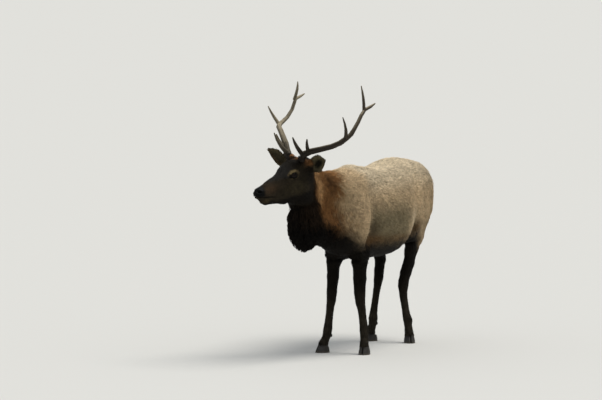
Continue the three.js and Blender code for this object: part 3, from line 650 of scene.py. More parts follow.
def nostril_ring(forward, out, up, side):
    """How far out of a nostril each point lies: a comma, long towards the lip behind."""
    ahead, beside, high = forward - NOSTRIL[0], side * out - NOSTRIL[1], up - NOSTRIL[2]
    long = ahead * 0.62 - beside * 0.60 + high * 0.35
    across = ahead * 0.55 + beside * 0.35
    return np.sqrt((long / 0.0150) ** 2 + ((high - 0.35 * long) / 0.0072) ** 2 + (across / 0.024) ** 2)


def from_eyes(points):
    return np.min([np.linalg.norm(points - eye_centre(side), axis=1) for side in (1, -1)], axis=0)


def by_the_lips(points):
    forward, out, up = head_measures(points).T
    rings = np.minimum(nostril_ring(forward, out, up, 1), nostril_ring(forward, out, up, -1))
    lips = (np.abs(away_from_line(forward, up, MOUTH)) < 0.014) & (forward > 0.39)
    return (lips | ((rings < 2.2) & (forward > 0.48))) & (np.abs(out) < HEAD_HALF_WIDTH)


print("the mouth is", round(MOUTH[0][0] - MOUTH[-1][0], 3), "long")


# %% Split the skin round eyes and lips
def split_edges(wanted, cuts):
    """Splits every edge whose middle the test picks out."""
    points, edges = mesh_arrays(skin.data)
    chosen = np.flatnonzero(wanted(points[edges].mean(axis=1)))
    shell = bmesh.new()
    shell.from_mesh(skin.data)
    shell.edges.ensure_lookup_table()
    bmesh.ops.subdivide_edges(shell, edges=[shell.edges[i] for i in chosen], cuts=cuts, use_grid_fill=True)
    bmesh.ops.triangulate(shell, faces=[face for face in shell.faces if len(face.verts) > 3])
    shell.to_mesh(skin.data)
    shell.free()


split_edges(lambda points: from_eyes(points) < 0.042, 3)
split_edges(by_the_lips, 1)
points, edges = mesh_arrays(skin.data)
split = np.maximum(from_eyes(points) < 0.044, by_the_lips(points)).astype(float)
points = smooth(points, edges, 4, share=split)
set_points(skin.data, points)
print("points round eyes and lips", int(split.sum()))

# %% [markdown]
# ## Lids, nostrils and mouth
#
# Lids could be a piece of their own, but a live lid is the face's own skin drawn over the ball. So the
# skin near each eye is laid on a sphere a little larger than the eyeball, round an almond opening, and
# drops behind the ball inside it. Nostrils and mouth are grooves along lines on the muzzle.

# %% The eye's opening
EYE_RADIUS = 0.0235
LID_RADIUS = 0.0256
BEHIND_BALL = 0.0055
OPENING = {"along": 1.02, "above": 0.54, "below": 0.42}   # half-angles of the almond, radians


def eye_axes(side):
    outward = OUT * side * 0.90 + FORWARD * 0.40 + HEAD_UP * 0.16
    outward /= np.linalg.norm(outward)
    along = FORWARD + HEAD_UP * 0.02
    along -= outward * (along @ outward)
    along /= np.linalg.norm(along)
    above = np.cross(along, outward) * side
    return along, above, outward


def almond(points, side):
    """How far out of the eye's opening each point lies: 1 on its edge; and its place from the eye."""
    along, above, outward = eye_axes(side)
    off = points - eye_centre(side)
    depth = np.maximum(off @ outward, 1e-4)
    sideways = np.arctan2(off @ along, depth)
    upward = np.arctan2(off @ above, depth)
    tall = np.where(upward > 0, OPENING["above"], OPENING["below"])
    ring = np.sqrt((sideways / OPENING["along"]) ** 2 + (upward / tall) ** 2)
    return ring, off, upward, (off @ outward) > 0


print("the lids stand", round(LID_RADIUS - EYE_RADIUS, 4), "off the eyeball")


# %% Lids
def lids(points):
    moved = points.copy()
    for side in (1, -1):
        ring, off, upward, front = almond(moved, side)
        distance = np.linalg.norm(off, axis=1)
        near = front & (distance < 0.055) & (ring < 3.2)
        socket = (off @ eye_axes(side)[2] > -0.016) & (distance < LID_RADIUS) & (ring > 1.0)
        share = 1 - smoothstep(1.25, 3.0, ring)
        lid = LID_RADIUS + 0.0012 * bump(ring, 1.12, 0.16) - 0.0014 * bump(ring, 1.75, 0.22)
        lid = lid + np.where(upward > 0, 0.0035, 0.0005) * bump(ring, 2.25, 0.5)
        target = np.where(ring < 1.0, EYE_RADIUS - BEHIND_BALL, lid)
        wanted = distance + (target - distance) * np.where(ring < 1.0, 1.0, share)
        wanted = np.where(near, wanted, distance)
        wanted = np.where(socket, np.maximum(wanted, LID_RADIUS - 0.0002), wanted)
        scale = wanted / np.maximum(distance, 1e-6)
        moved += off * (scale - 1)[:, None]
    return moved


# %% Nostrils, mouth and tear pit
def fine_forms(points):
    forward, out, up = head_measures(points).T
    ahead, high = forward - 0.292, up - 0.050
    pit = np.hypot(ahead - 0.5 * high, high * 0.32 + ahead * 0.10)
    move = -0.0045 * bump(pit, 0, 0.0075) * smoothstep(0.035, 0.05, np.abs(out))
    lip = away_from_line(forward, up, MOUTH)
    lips = 0.0022 * bump(lip, 0.009, 0.006) + 0.0015 * bump(lip, -0.008, 0.005)
    move += (lips - 0.0055 * bump(lip, 0, 0.0028)) * smoothstep(0.400, 0.416, forward)
    for side in (1, -1):
        nostril = nostril_ring(forward, out, up, side)
        flare = 0.0018 * bump(nostril, 1.55, 0.35) * (forward > 0.50)
        move += (flare - 0.0150 * np.exp(-(nostril ** 2.6))) * (side * out > 0.004)
    return move * on_the_head(points)


points = lids(points + point_normals(skin.data) * fine_forms(points)[:, None])
set_points(skin.data, points)
shade_smooth(skin.data)
print("skin triangles", sum(len(p.vertices) - 2 for p in skin.data.polygons))

# %% [markdown]
# ## An unwrap of the skin
#
# The markings are to be baked to an image, so the skin needs a map, `OFBake`. An automatic unwrap would
# cut it into hundreds of scraps. Each region is unrolled round its own middle line instead, into its own
# part of the map, as a taxidermist lays a hide out flat. Every lock of hair later takes the small patch of
# this map that its root stands on.

# %% Which island each point belongs to
points, edges = mesh_arrays(skin.data)
normals = point_normals(skin.data)
share = regions(points)
body = body_measures(points)
head = head_measures(points)

ROOM = {  # where each island lies on the map: left, bottom, right, top
    "trunk": (0.02, 0.55, 0.98, 0.98), "neck": (0.02, 0.30, 0.50, 0.53), "head": (0.52, 0.30, 0.98, 0.53),
    "ear_left": (0.02, 0.16, 0.20, 0.28), "ear_right": (0.22, 0.16, 0.40, 0.28),
    "tail": (0.02, 0.02, 0.10, 0.14), "foreleg_left": (0.42, 0.02, 0.55, 0.28),
    "foreleg_right": (0.56, 0.02, 0.69, 0.28), "hindleg_left": (0.70, 0.02, 0.83, 0.28),
    "hindleg_right": (0.84, 0.02, 0.97, 0.28),
}
ISLANDS = list(ROOM)
island = np.zeros(len(points), dtype=int)
island[share["neck"] > 0.5] = ISLANDS.index("neck")
island[share["head"] > 0.5] = ISLANDS.index("head")
for name, side in SIDES.items():
    island[(share["ear"] > 0.4) & (head[:, 1] * side > 0)] = ISLANDS.index(f"ear_{name}")
island[share["tail"] > 0.5] = ISLANDS.index("tail")
for leg in LEGS:
    side = SIDES[leg.split("_")[1]]
    island[(share[leg[:4]] > 0.5) & (body[:, 0] * side > 0)] = ISLANDS.index(leg)
print("points on each island", dict(zip(ISLANDS, np.bincount(island).tolist())))


# %% Unroll each island
def unrolled(places, along, across, up):
    """Angle round the middle line and distance along it; the ends of a closed shape spread out too."""
    station = places @ along
    bins = np.linspace(station.min(), station.max(), 24)
    which = np.digitize(station, bins)
    filled = [w for w in range(len(bins) + 1) if (which == w).sum() > 3]
    at = [station[which == w].mean() for w in filled]
    middle = [np.interp(station, at, [(places[which == w] @ axis).mean() for w in filled])
              for axis in (across, up)]
    sideways, upward = places @ across - middle[0], places @ up - middle[1]
    radius = np.hypot(sideways, upward)
    widest = np.interp(station, at, [radius[which == w].max() for w in filled])
    end = np.tanh((station - station.mean()) / (0.35 * np.ptp(station)))
    return np.arctan2(sideways, upward), station + 0.8 * end * (widest.max() - radius)


X, Y, Z = np.eye(3)
ROLLED = {"trunk": (Y, X, Z), "neck": (Y - 0.45 * Z, X, Z + 0.45 * Y), "head": (FORWARD, OUT, HEAD_UP),
          "tail": (-Z, X, Y)}   # the middle line, then the two ways across it
ROLLED |= {leg: (-Z, X, -Y) for leg in LEGS}
for name, side in SIDES.items():
    ear_axis = OUT * side * 0.85 + HEAD_UP * 0.5
    ROLLED[f"ear_{name}"] = (ear_axis, FORWARD, np.cross(ear_axis, FORWARD))

angle, run = np.zeros(len(points)), np.zeros(len(points))
for number, name in enumerate(ISLANDS):
    here = island == number
    angle[here], run[here] = unrolled(points[here], *(normalized(axis) for axis in ROLLED[name]))
    run[here] = (run[here] - run[here].min()) / np.ptp(run[here])
print("angles from", angle.min().round(3), "to", angle.max().round(3))

# %% Write the map
corner_points = np.empty(len(skin.data.loops), dtype=np.int64)
skin.data.loops.foreach_get("vertex_index", corner_points)
starts = np.empty(len(skin.data.polygons), dtype=np.int64)
skin.data.polygons.foreach_get("loop_start", starts)
corners = corner_points[starts[:, None] + np.arange(3)]
face_island = np.median(island[corners], axis=1).astype(int)
face_angle = angle[corners]
wraps = (np.ptp(face_angle, axis=1) > math.pi)[:, None] & (face_angle < 0)
face_angle = np.clip((face_angle + 2 * math.pi * wraps) / (2 * math.pi) + 0.5, 0, 1.02)
rooms = np.array([ROOM[name] for name in ISLANDS])[face_island]
across = rooms[:, 0:1] + (rooms[:, 2:3] - rooms[:, 0:1]) * face_angle / 1.03
upward = rooms[:, 1:2] + (rooms[:, 3:4] - rooms[:, 1:2]) * run[corners]
chart = np.stack([across, upward], axis=2).reshape(-1, 2).astype(np.float32)
layer = skin.data.uv_layers.new(name="OFBake")
layer.data.foreach_set("uv", chart.ravel())
print("islands", {name: int((face_island == i).sum()) for i, name in enumerate(ISLANDS)})

# %% [markdown]
# ## The lie, length and lift of the coat
#
# Hair grows back along the trunk and down the flanks, down the legs and the mane, from the nose up to
# the poll, and out along the ears. It could be combed by hand, but the regions already say where each
# way holds, so their shares blend one way into the next. A slow random turn keeps it from looking combed.

# %% The lie of the coat
DOWN_NECK, DOWN_MANE, DOWN_LEG, DOWN_RUMP = (0, 0.30, -1), (0, 0.12, -1), (0, 0.10, -1), (0, 0.25, -1)


def on_the_surface(lie, normals):
    return normalized(lie - normals * np.sum(lie * normals, axis=1, keepdims=True))


def lie_of(points, normals, share):
    x, y, _ = body_measures(points).T
    forward, out, up = head_measures(points).T
    side = np.sign(out)[:, None]
    down_flank = -0.10 - 0.42 * smoothstep(0.05, 0.2, np.abs(x))
    lie = np.stack([0 * x, 1 + 0 * x, down_flank], axis=1)
    low_cheek = smoothstep(0.02, -0.06, up)[:, None]
    face = -FORWARD - HEAD_UP * (0.10 + 0.35 * low_cheek)
    face = face + OUT * side * 0.25 * smoothstep(0.2, 0.1, forward)[:, None]
    ways = ((smoothstep(0.86, 1.02, y), DOWN_RUMP),
            (share["neck"] * (1 - smoothstep(-0.30, -0.12, y)), DOWN_NECK),
            (share["mane"], DOWN_MANE),
            (np.maximum(share["fore"], share["hind"]), DOWN_LEG),
            (share["head"], face),
            (share["ear"], OUT * side * 0.85 + HEAD_UP * 0.5),
            (share["tail"], DOWN_LEG))
    for part_of, way in ways:
        lie = lie * (1 - part_of[:, None]) + np.asarray(way) * part_of[:, None]
    turn = 0.09 * ripple(points, 0.075, seed=11) + 0.05 * ripple(points, 0.022, seed=12)
    turn *= 1 + share["neck"]
    lie = on_the_surface(lie, normals)
    lie += np.cross(normals, lie) * turn[:, None]
    return on_the_surface(lie, normals)


lie = lie_of(points, normals, share)
print("mean way the hair lies", lie.mean(axis=0).round(3))

# %% Lock lengths and widths
BODY_LOCK, FACE_LOCK = (0.044, 0.0050), (0.0090, 0.0021)   # length and width
LOCKS = {"neck": (0.054, 0.0040), "mane": (0.095, 0.0060), "belly": (0.040, 0.0050), "fore": (0.024, 0.0038),
         "hind": (0.024, 0.0038), "shin": (0.014, 0.0026), "head": (0.018, 0.0030), "tail": (0.045, 0.0045),
         "ear": (0.013, 0.0022)}
LONGER_AT_HOOF = 0.012


def lock_sizes(points, share):
    face = share["head"] * smoothstep(0.20, 0.42, head_measures(points)[:, 0])
    sizes = []
    for which in (0, 1):
        size = np.full(len(points), BODY_LOCK[which])
        for name, values in LOCKS.items():
            size += (values[which] - size) * share[name]
        sizes.append(size + (FACE_LOCK[which] - size) * face)
    coronet = share["shin"] * (1 - smoothstep(0.10, 0.13, points[:, 2]))
    sizes[0] += LONGER_AT_HOOF * np.maximum(near_claws(points), coronet)
    return sizes


length, width = lock_sizes(points, share)
lift = coat_depth(points, share)
length *= 1 + 0.14 * np.clip(ripple(points, 0.030, seed=21), -1.2, 1.2)
lift *= 1 + 0.10 * np.clip(ripple(points, 0.045, seed=22), -1, 1)

from_opening = np.full(len(points), 99.0)
for side in (1, -1):
    ring, off, _, _ = almond(points, side)
    from_opening = np.minimum(from_opening, ring + 9 * (np.linalg.norm(off, axis=1) > 0.06))
number = smoothstep(1.08, 1.30, from_opening)   # the share of the full number of locks that stands there
length *= 0.50 + 0.50 * smoothstep(1.2, 2.6, from_opening)
print("lock width", width.min().round(4), width.max().round(4))

# %% Keep the tips inside the outline
CHECKED_LENGTH = 0.03   # shorter locks can't reach far
TRIED = (0.30, 0.40, 0.50, 0.62, 0.75, 0.88, 1.0)
SHORTEST = 0.22
ALLOWANCE = 0.004


def beyond_outline(place):
    near, facing, _, _ = OUTLINE.find_nearest(place)
    return (Vector(place) - near).dot(facing)


def kept_inside(length):
    """Shortens long locks whose tips would stand out beyond the animal's outline."""
    checked = np.flatnonzero(length > CHECKED_LENGTH)
    fits = np.ones(len(points))
    fits[checked] = SHORTEST
    for part_of in TRIED:
        tips = points + lie * (length * part_of)[:, None] + normals * (0.8 * lift)[:, None]
        for i in checked:
            if beyond_outline(tips[i]) < ALLOWANCE:
                fits[i] = part_of
    return length * fits


length = kept_inside(length)
print("lock length", length.min().round(4), length.max().round(4), "lift", lift.max().round(4))

# %% [markdown]
# ## Markings
#
# An elk's tints run into each other: dark mane and legs, chestnut neck, cream back, grey flank, rusty
# belly and a pale rump with an orange rim. Painting them would need an image, so each tint has a soft
# mask, told from the body and head measures, with ragged, hair-like edges. Some tints paint light, wholly
# or in part: shade on the lower flank, in the hollow behind the shoulder, in the flank fold and in the
# ears' cups, a lit patch low on the rear barrel, and the head's tints darkened as painted shade. Skin and
# locks carry the same masks, so they are marked alike.

# %% Lines between the markings
# each is two lists: places along the line, and where the line is there
BELLY_LINE = ([-0.45, -0.40, -0.32, -0.25, -0.20, -0.14, -0.02, 0.12, 0.40, 0.60, 0.70, 0.78, 0.84, 0.90,
               1.0],
              [1.05, 1.010, 0.968, 0.925, 0.885, 0.835, 0.812, 0.808, 0.800, 0.800, 0.845, 0.860, 0.790,
               0.720, 0.690])                                                       # back, height
THROAT_LINE = ([0.78, 0.876, 0.90, 0.96, 1.11, 1.20, 1.29, 1.40],
               [0.08, 0.29, 0.355, 0.418, 0.463, 0.478, 0.490, 0.53])               # height, ahead
NECK_LINE = ([0.88, 1.00, 1.10, 1.19, 1.27, 1.33, 1.37],
             [-0.265, -0.258, -0.268, -0.315, -0.300, -0.250, -0.215])              # height, back
RUMP_PATCH = ([0.84, 1.00, 1.16, 1.26], [0.070, 0.115, 0.135, 0.080])               # height, half-width
WHORL = {"at": (0.03, -0.375, 1.325), "reach": (0.09, 0.042, 0.070)}

ragged = np.clip(0.6 * ripple(points, 0.05, seed=31) + 0.4 * ripple(points, 0.018, seed=32), -1.5, 1.5)


def means(marks):
    return {name: round(float(mask.mean()), 3) for name, mask in marks.items()}


print("the rump patch is", 2 * max(RUMP_PATCH[1]), "wide")


# %% Marks of the underside and neck
def dark_marks(points, ragged):
    """Black on the throat, chest and belly, edged with dark brown."""
    _, y, z = body_measures(points).T
    forward, _, up = head_measures(points).T
    from_belly = z - np.interp(y, *BELLY_LINE) + 0.014 * ragged
    from_throat = body_measures(points) @ AHEAD - np.interp(z, *THROAT_LINE)
    before_withers = 1 - smoothstep(-0.05, 0.09, behind_neck(points))
    under_jaw = smoothstep(0.02, 0.06, forward) * smoothstep(-0.08, -0.12, up)
    throat = np.maximum(smoothstep(-0.020, 0.045, from_throat + 0.014 * ragged), under_jaw) * before_withers
    brown = np.maximum(smoothstep(-0.035, 0.010, from_throat + 0.012 * ragged), under_jaw) * before_withers
    under = 1 - smoothstep(-0.050, 0.045, from_belly)
    return {
        "black": np.maximum(under, throat * (0.72 + 0.28 * smoothstep(0.06, 0.14, from_throat))),
        "umber": np.maximum(0.85 * (1 - smoothstep(-0.02, 0.10, from_belly)), brown),
        "light": bump(from_throat, -0.050, 0.024) * smoothstep(1.14, 1.26, z) * before_withers,
    }


def neck_marks(points, ragged):
    """Chestnut behind the mane, with a dark whorl high up and a darker foot."""
    _, y, z = body_measures(points).T
    from_line = y - np.interp(z, *NECK_LINE)
    swirl = np.exp(-np.sum(((body_measures(points) - WHORL["at"]) / WHORL["reach"]) ** 2, axis=1))
    low_neck = bump(z, 0.97, 0.10) * (1 - smoothstep(-0.050, 0.050, from_line)) * (0.9 + 0.3 * ragged)
    return {
        "chestnut": 1 - smoothstep(-0.060, 0.055, from_line + 0.022 * ragged),
        "tawny": (1 - smoothstep(-0.07, 0.11, from_line + 0.030 * ragged)) * smoothstep(0.86, 0.96, z),
        "dusky": np.maximum(swirl * (0.85 + 0.25 * ragged), 0.62 * low_neck),
    }


dark, masks = dark_marks(points, ragged), neck_marks(points, ragged)
print("underside", means(dark), "neck", means(masks))


# %% Marks of the trunk
def trunk_marks(points, ragged):
    """Cream above with a painted lit patch low on the rear barrel, grey on the flank that paints shade on the
    lower flank, painted shade in the hollow behind the shoulder, and rust along the belly.
    """
    _, y, z = body_measures(points).T
    gone = behind_shoulder(y, z)
    back = smoothstep(1.14, 1.33, z) * smoothstep(-0.12, 0.02, y)
    flank = smoothstep(-0.02, 0.03, gone) * (1 - smoothstep(0.42, 0.58, y + 0.03 * ragged))
    reach = bump(y, 0.06, 0.10) + 0.8 * bump(y, 0.35, 0.25) + bump(y, 0.72, 0.06) + 0.6 * bump(y, -0.06, 0.05)
    return {
        # the pale back, and a lighter patch low on the rear barrel that is partly the coat's own tint and
        # partly painted light where the flank turns to the key
        "cream": np.maximum(back, 0.9 * bump(y, 0.60, 0.07) * bump(z, 0.94, 0.09)),
        # grey of the flank, which also darkens the whole lower flank as painted shade
        "grey": (1 - smoothstep(0.99, 1.22, z + 0.02 * ragged)) * flank,
        # painted shade in the hollow behind the shoulder, deepest low down
        "hollow": window(-0.030, 0.020, 0.04, 0.20, gone) * (1 - smoothstep(0.92, 1.10, z)),
        "rust": bump(z - np.interp(y, *BELLY_LINE), 0.040, 0.038) * np.clip(reach, 0, 1),
    }


masks |= trunk_marks(points, ragged)
print("with the trunk's", means(masks))


# %% Marks of the rump and legs
def rump_marks(points, normals, share, ragged):
    """The pale patch and its orange rim, on what faces back; dark brown on the thigh's edge, and painted
    shade in the flank fold.
    """
    x, y, z = body_measures(points).T
    low, high = box_of("tail")
    from_dock = np.linalg.norm(points - [(low[0] + high[0]) / 2, low[1], high[2]], axis=1)
    rearward = normalized(smooth(normals, edges, 16, out_step=0))[:, 1]
    rearward = rearward + 0.9 * bump(from_dock, 0, 0.11) + 0.03 * ragged
    behind = smoothstep(0.80, 0.88, y)
    patch = np.abs(x + 0.03 * ragged) - np.interp(z, *RUMP_PATCH)
    rump = (1 - smoothstep(-0.02, 0.02, patch)) * smoothstep(0.50, 0.72, rearward) * behind
    rump *= smoothstep(0.84, 0.92, z)
    orange = smoothstep(0.28, 0.58, rearward) * behind * smoothstep(0.76, 0.86, z) * (1 - 0.85 * rump)
    orange *= 1 - 0.45 * smoothstep(0.06, 0.14, patch) * smoothstep(0.62, 0.9, rearward)
    # painted shade in the fold of the flank before the thigh
    fold = bump(y, 0.715, 0.028) * bump(z, 0.905, 0.055) * smoothstep(0.15, 0.2, np.abs(x))
    thigh_edge = bump(rearward, 0.30, 0.22) * behind * window(0.70, 0.80, 0.90, 1.04, z)
    return {"rump": rump * (1 - share["tail"]), "orange": orange, "tail": share["tail"],
            "umber": np.maximum(0.85 * fold, 0.6 * thigh_edge)}


def leg_marks(points, share, ragged):
    """The shanks are greyer than the black of the belly, and so is the back of the elbow."""
    x, y, z = body_measures(points).T
    width = np.abs(x)
    leg = np.maximum(share["fore"], share["hind"])
    shank = (1 - smoothstep(0.30, 0.56, z)) * leg * (0.4 + 0.6 * smoothstep(0, 0.06, width - 0.08))
    elbow = share["fore"] * bump(z, 0.75, 0.07) * smoothstep(0.10, 0.15, width) * smoothstep(-0.02, 0.03, y)
    return {"shank": np.maximum(shank * np.clip(0.70 + 0.30 * ragged, 0, 1), 0.8 * elbow)}


masks |= leg_marks(points, share, ragged) | rump_marks(points, normals, share, ragged)
print("with the rump's and legs'", means(masks))

# %% Marks round the eyes
RING = {"plane": (0.037, 0.024), "pale": (0.046, 0.033), "pale_off": (0.003, 0.007)}   # along, above
TEAR = {"at": (0.034, -0.008), "reach": (0.014, 0.007)}


def eye_marks(points, ragged):
    """The pale ring round each eye, broken in front, and the dark edge of the lids."""
    pale_ring, lid_edge = np.zeros(len(points)), np.zeros(len(points))
    for side in (1, -1):
        _, off, _, front = almond(points, side)
        along, above, outward = eye_axes(side)
        near = off @ outward > -0.03
        ahead, high = off @ along, off @ above
        plane = np.hypot(ahead / RING["plane"][0], high / RING["plane"][1])
        ring = np.hypot((ahead - RING["pale_off"][0]) / RING["pale"][0],
                        (high - RING["pale_off"][1]) / RING["pale"][1]) + 0.06 * ragged
        pale = smoothstep(0.84, 1.06, plane) * (1 - smoothstep(0.82, 1.22, ring))
        pale *= 0.30 + 0.70 * smoothstep(-0.014, 0.022, high)
        pale *= 0.60 + 0.40 * smoothstep(-0.035, 0.010, ahead)
        pale_ring = np.maximum(pale_ring, near * pale)
        tear = np.hypot((ahead - TEAR["at"][0]) / TEAR["reach"][0], (high - TEAR["at"][1]) / TEAR["reach"][1])
        dark = np.maximum(1 - smoothstep(0.74, 1.02, plane), 1 - smoothstep(0.7, 1.3, tear))
        lid_edge = np.maximum(lid_edge, near * front * dark)
    return pale_ring, lid_edge


# %% Marks of the head
def head_marks(points, share, ragged):
    """Slate on the bridge, olive cheeks, a brown muzzle, a rusty poll, and bare nose, lips and lids."""
    forward, out, up = head_measures(points).T
    on_head = share["head"]
    pale_ring, lid_edge = eye_marks(points, ragged)
    lip = away_from_line(forward, up, MOUTH)
    nose = smoothstep(0.492, 0.512, forward + 0.30 * (up - 0.040)) * smoothstep(0.000, 0.008, lip)
    mouth = 0.85 * bump(lip, 0, 0.0038) * smoothstep(0.395, 0.420, forward)
    chin = bump(forward, 0.497, 0.026) * bump(up, -0.036, 0.015) * smoothstep(0.002, 0.010, -lip)
    ear_root = bump(forward, 0.082, 0.030) * bump(np.abs(out), 0.093, 0.024) * smoothstep(0.105, 0.125, up)
    crown = bump(forward, 0.108, 0.030) * (1 - smoothstep(0.040, 0.062, np.abs(out + 0.012)))
    crown *= smoothstep(0.150, 0.172, up)
    poll = np.clip(ear_root + crown * (0.75 + 0.5 * ragged), 0, 1)
    behind_cheek = 0.75 * bump(forward, 0.085, 0.045) * smoothstep(0.12, 0.06, up)
    brow = 0.8 * smoothstep(0.115, 0.150, up) * (1 - smoothstep(0.20, 0.28, forward))
    under_lip = smoothstep(0.40, 0.46, forward) * smoothstep(-0.012, -0.035, lip)
    jaw = smoothstep(-0.050, -0.085, up) + 0.8 * under_lip
    shade = np.clip(np.maximum(np.maximum(brow, behind_cheek), jaw), 0, 1)
    return {
        "face": on_head,
        "slate": on_head * smoothstep(0.065, 0.095, up + 0.006 * ragged) * smoothstep(0.20, 0.28, forward),
        "olive": on_head * bump(forward, 0.245, 0.10) * bump(up, -0.015, 0.055) * (0.85 + 0.25 * ragged),
        "brown": on_head * bump(up, 0.036, 0.034) * bump(forward, 0.450, 0.062) * (1 - nose),
        "tan": np.clip(pale_ring * (0.95 + 0.2 * ragged) + 0.22 * chin, 0, 1) * on_head,
        "poll": poll,
        "shade": shade * on_head * (1 - poll) * (1 - chin),
        "bare": np.clip(np.maximum(nose, mouth), 0, 1) * on_head,
        "lid": lid_edge * on_head,
    }


masks |= head_marks(points, share, ragged)
number *= 1 - np.maximum(masks["bare"], 0.6 * masks["lid"])
print("with the head's", means(masks))

# %% Marks of the ears, and all marks together
CUP = {"nearer_root": 0.10, "length": 0.72, "width": 0.60}
CUP_SHADE = {1: 1.0, -1: 0.5}   # the right ear's cup is half lit from behind


def ear_marks(points, normals, share, ragged):
    """Buff backs, paler insides, and painted shade in the deep cup of each."""
    hollow = smoothstep(0.10, 0.55, normals @ FORWARD)
    deep = np.zeros(len(points))
    for side in (1, -1):
        here, along, off, _ = ear_measures(points, share, side)
        cup = np.hypot((along / along.max() + CUP["nearer_root"]) / CUP["length"],
                       off / np.abs(off).max() / CUP["width"])
        inside = 1 - smoothstep(0.35, 1.20, cup + 0.10 * ragged[here])
        # painted shade in each ear's cup, half as dark in the right ear, which is lit from behind
        deep[here] = inside * hollow[here] * CUP_SHADE[side]
    return {"ear_inside": share["ear"] * hollow, "ear_deep": deep, "ear_back": share["ear"] * (1 - hollow)}


masks |= ear_marks(points, normals, share, ragged)
for name, values in dark.items():
    masks[name] = np.maximum(masks[name], values) if name in masks else values
print("all", len(masks), "masks", means(masks))

# %% [markdown]
# ## Shapes of the locks
#
# Single hairs are far too thin and too many for a model that other people open. A mounted animal's coat
# reads as tapered locks, so a lock is one thin three-sided leaf of a few faces: its root is under the
# skin, it rises to the coat's depth and lies down along the hair. A few bends keep them from matching.

# %% Lock shapes
PATCH = 0.003   # size of a lock's patch on the map
RIDGE, RIDGE_MORE = 0.16, 0.3   # the leaf's middle stands up by this share of its half-width and more
# (along, half-width, height) of each station from root to tip, in unit sizes that the scatter scales
SHORT_STATIONS = [(0, 0.30, -0.12), (0.48, 0.50, 0.72), (1, 0, 1.0)]
LONG_STATIONS = [(0, 0.30, -0.10), (0.34, 0.50, 0.62), (0.72, 0.40, 0.98), (1, 0, 0.94)]


def lock_mesh(name, stations, bend):
    points, faces = [], []
    for along, half, height in stations[:-1]:
        sway = bend * along * along
        points += [(sway - half, along, height), (sway + half, along, height),
                   (sway, along, height + RIDGE * (half + RIDGE_MORE))]
    tip = len(points)
    points.append((bend, stations[-1][0], stations[-1][2]))
    faces.append((0, 1, 2))
    for ring in range(0, tip - 3, 3):
        for i in range(3):
            j = (i + 1) % 3
            faces += [(ring + i, ring + 3 + i, ring + 3 + j), (ring + i, ring + 3 + j, ring + j)]
    faces += [(tip - 3 + i, tip, tip - 3 + (i + 1) % 3) for i in range(3)]
    made = from_arrays(name, points, faces)
    uv = made.data.uv_layers.new(name="lock_uv")
    places = np.array([points[loop.vertex_index][:2] for loop in made.data.loops])
    places = (places - places.min(axis=0)) / np.ptp(places, axis=0)
    uv.data.foreach_set("uv", (places * PATCH).astype(np.float32).ravel())
    store(made.data, "along", [p[1] for p in points])
    store(made.data, "across", [p[0] - bend * p[1] * p[1] for p in points])
    return made


def lock_set(name, stations, bends):
    made = bpy.data.collections.new(name)
    for i, bend in enumerate(bends):
        lock = lock_mesh(f"{name}_{i}", stations, bend)
        bpy.context.scene.collection.objects.unlink(lock)
        made.objects.link(lock)
    return made


short_locks = lock_set("short_locks", SHORT_STATIONS, (0.0, 0.45, -0.45, 0.2))
long_locks = lock_set("long_locks", LONG_STATIONS, (0.0, 0.9, -0.9, 0.4, -0.5))

# %% [markdown]
# ## The scattering tree
#
# Placing a hundred thousand locks one by one in Python would be slow, and a particle system can't be
# exported. A Geometry Nodes tree scatters them over a patch of skin, lays each along the coat, scales it
# to the length, width and lift stored on the skin, gives it its root's place on the map, and turns the
# whole into one plain mesh.

# %% A helper that adds a node
def add(tree, kind, inputs=None, output=0, **settings):
    """Adds a node, sets its properties, sets or links its inputs, and gives one of its outputs."""
    node = tree.nodes.new(kind)
    for key, value in settings.items():
        setattr(node, key, value)
    for key, value in (inputs or {}).items():
        if isinstance(value, bpy.types.NodeSocket):
            tree.links.new(value, node.inputs[key])
        else:
            node.inputs[key].default_value = value
    return node.outputs[output] if node.outputs else node


# %% What the tree reads and draws
STORED = {"number": "FLOAT", "length": "FLOAT", "lift": "FLOAT", "width": "FLOAT", "lie": "FLOAT_VECTOR",
          "skin_normal": "FLOAT_VECTOR", "OFBake": "FLOAT_VECTOR", "lock_uv": "FLOAT_VECTOR"}
TREE_INPUTS = {"Patch": "Geometry", "Locks": "Collection", "Per square metre": "Float", "Seed": "Int",
               "Unruly": "Float", "Material": "Material"}
DRAWN = {"stretch": (0.72, 1.18, 2), "height": (0.35, 1.05, 3), "tone": (0.0, 1.0, 4)}   # from, to, seed
ONLY_FOR_THE_TREE = ("lock_uv", "lie", "length", "lift", "width", "number")
print("the tree reads", list(STORED), "and draws", list(DRAWN))


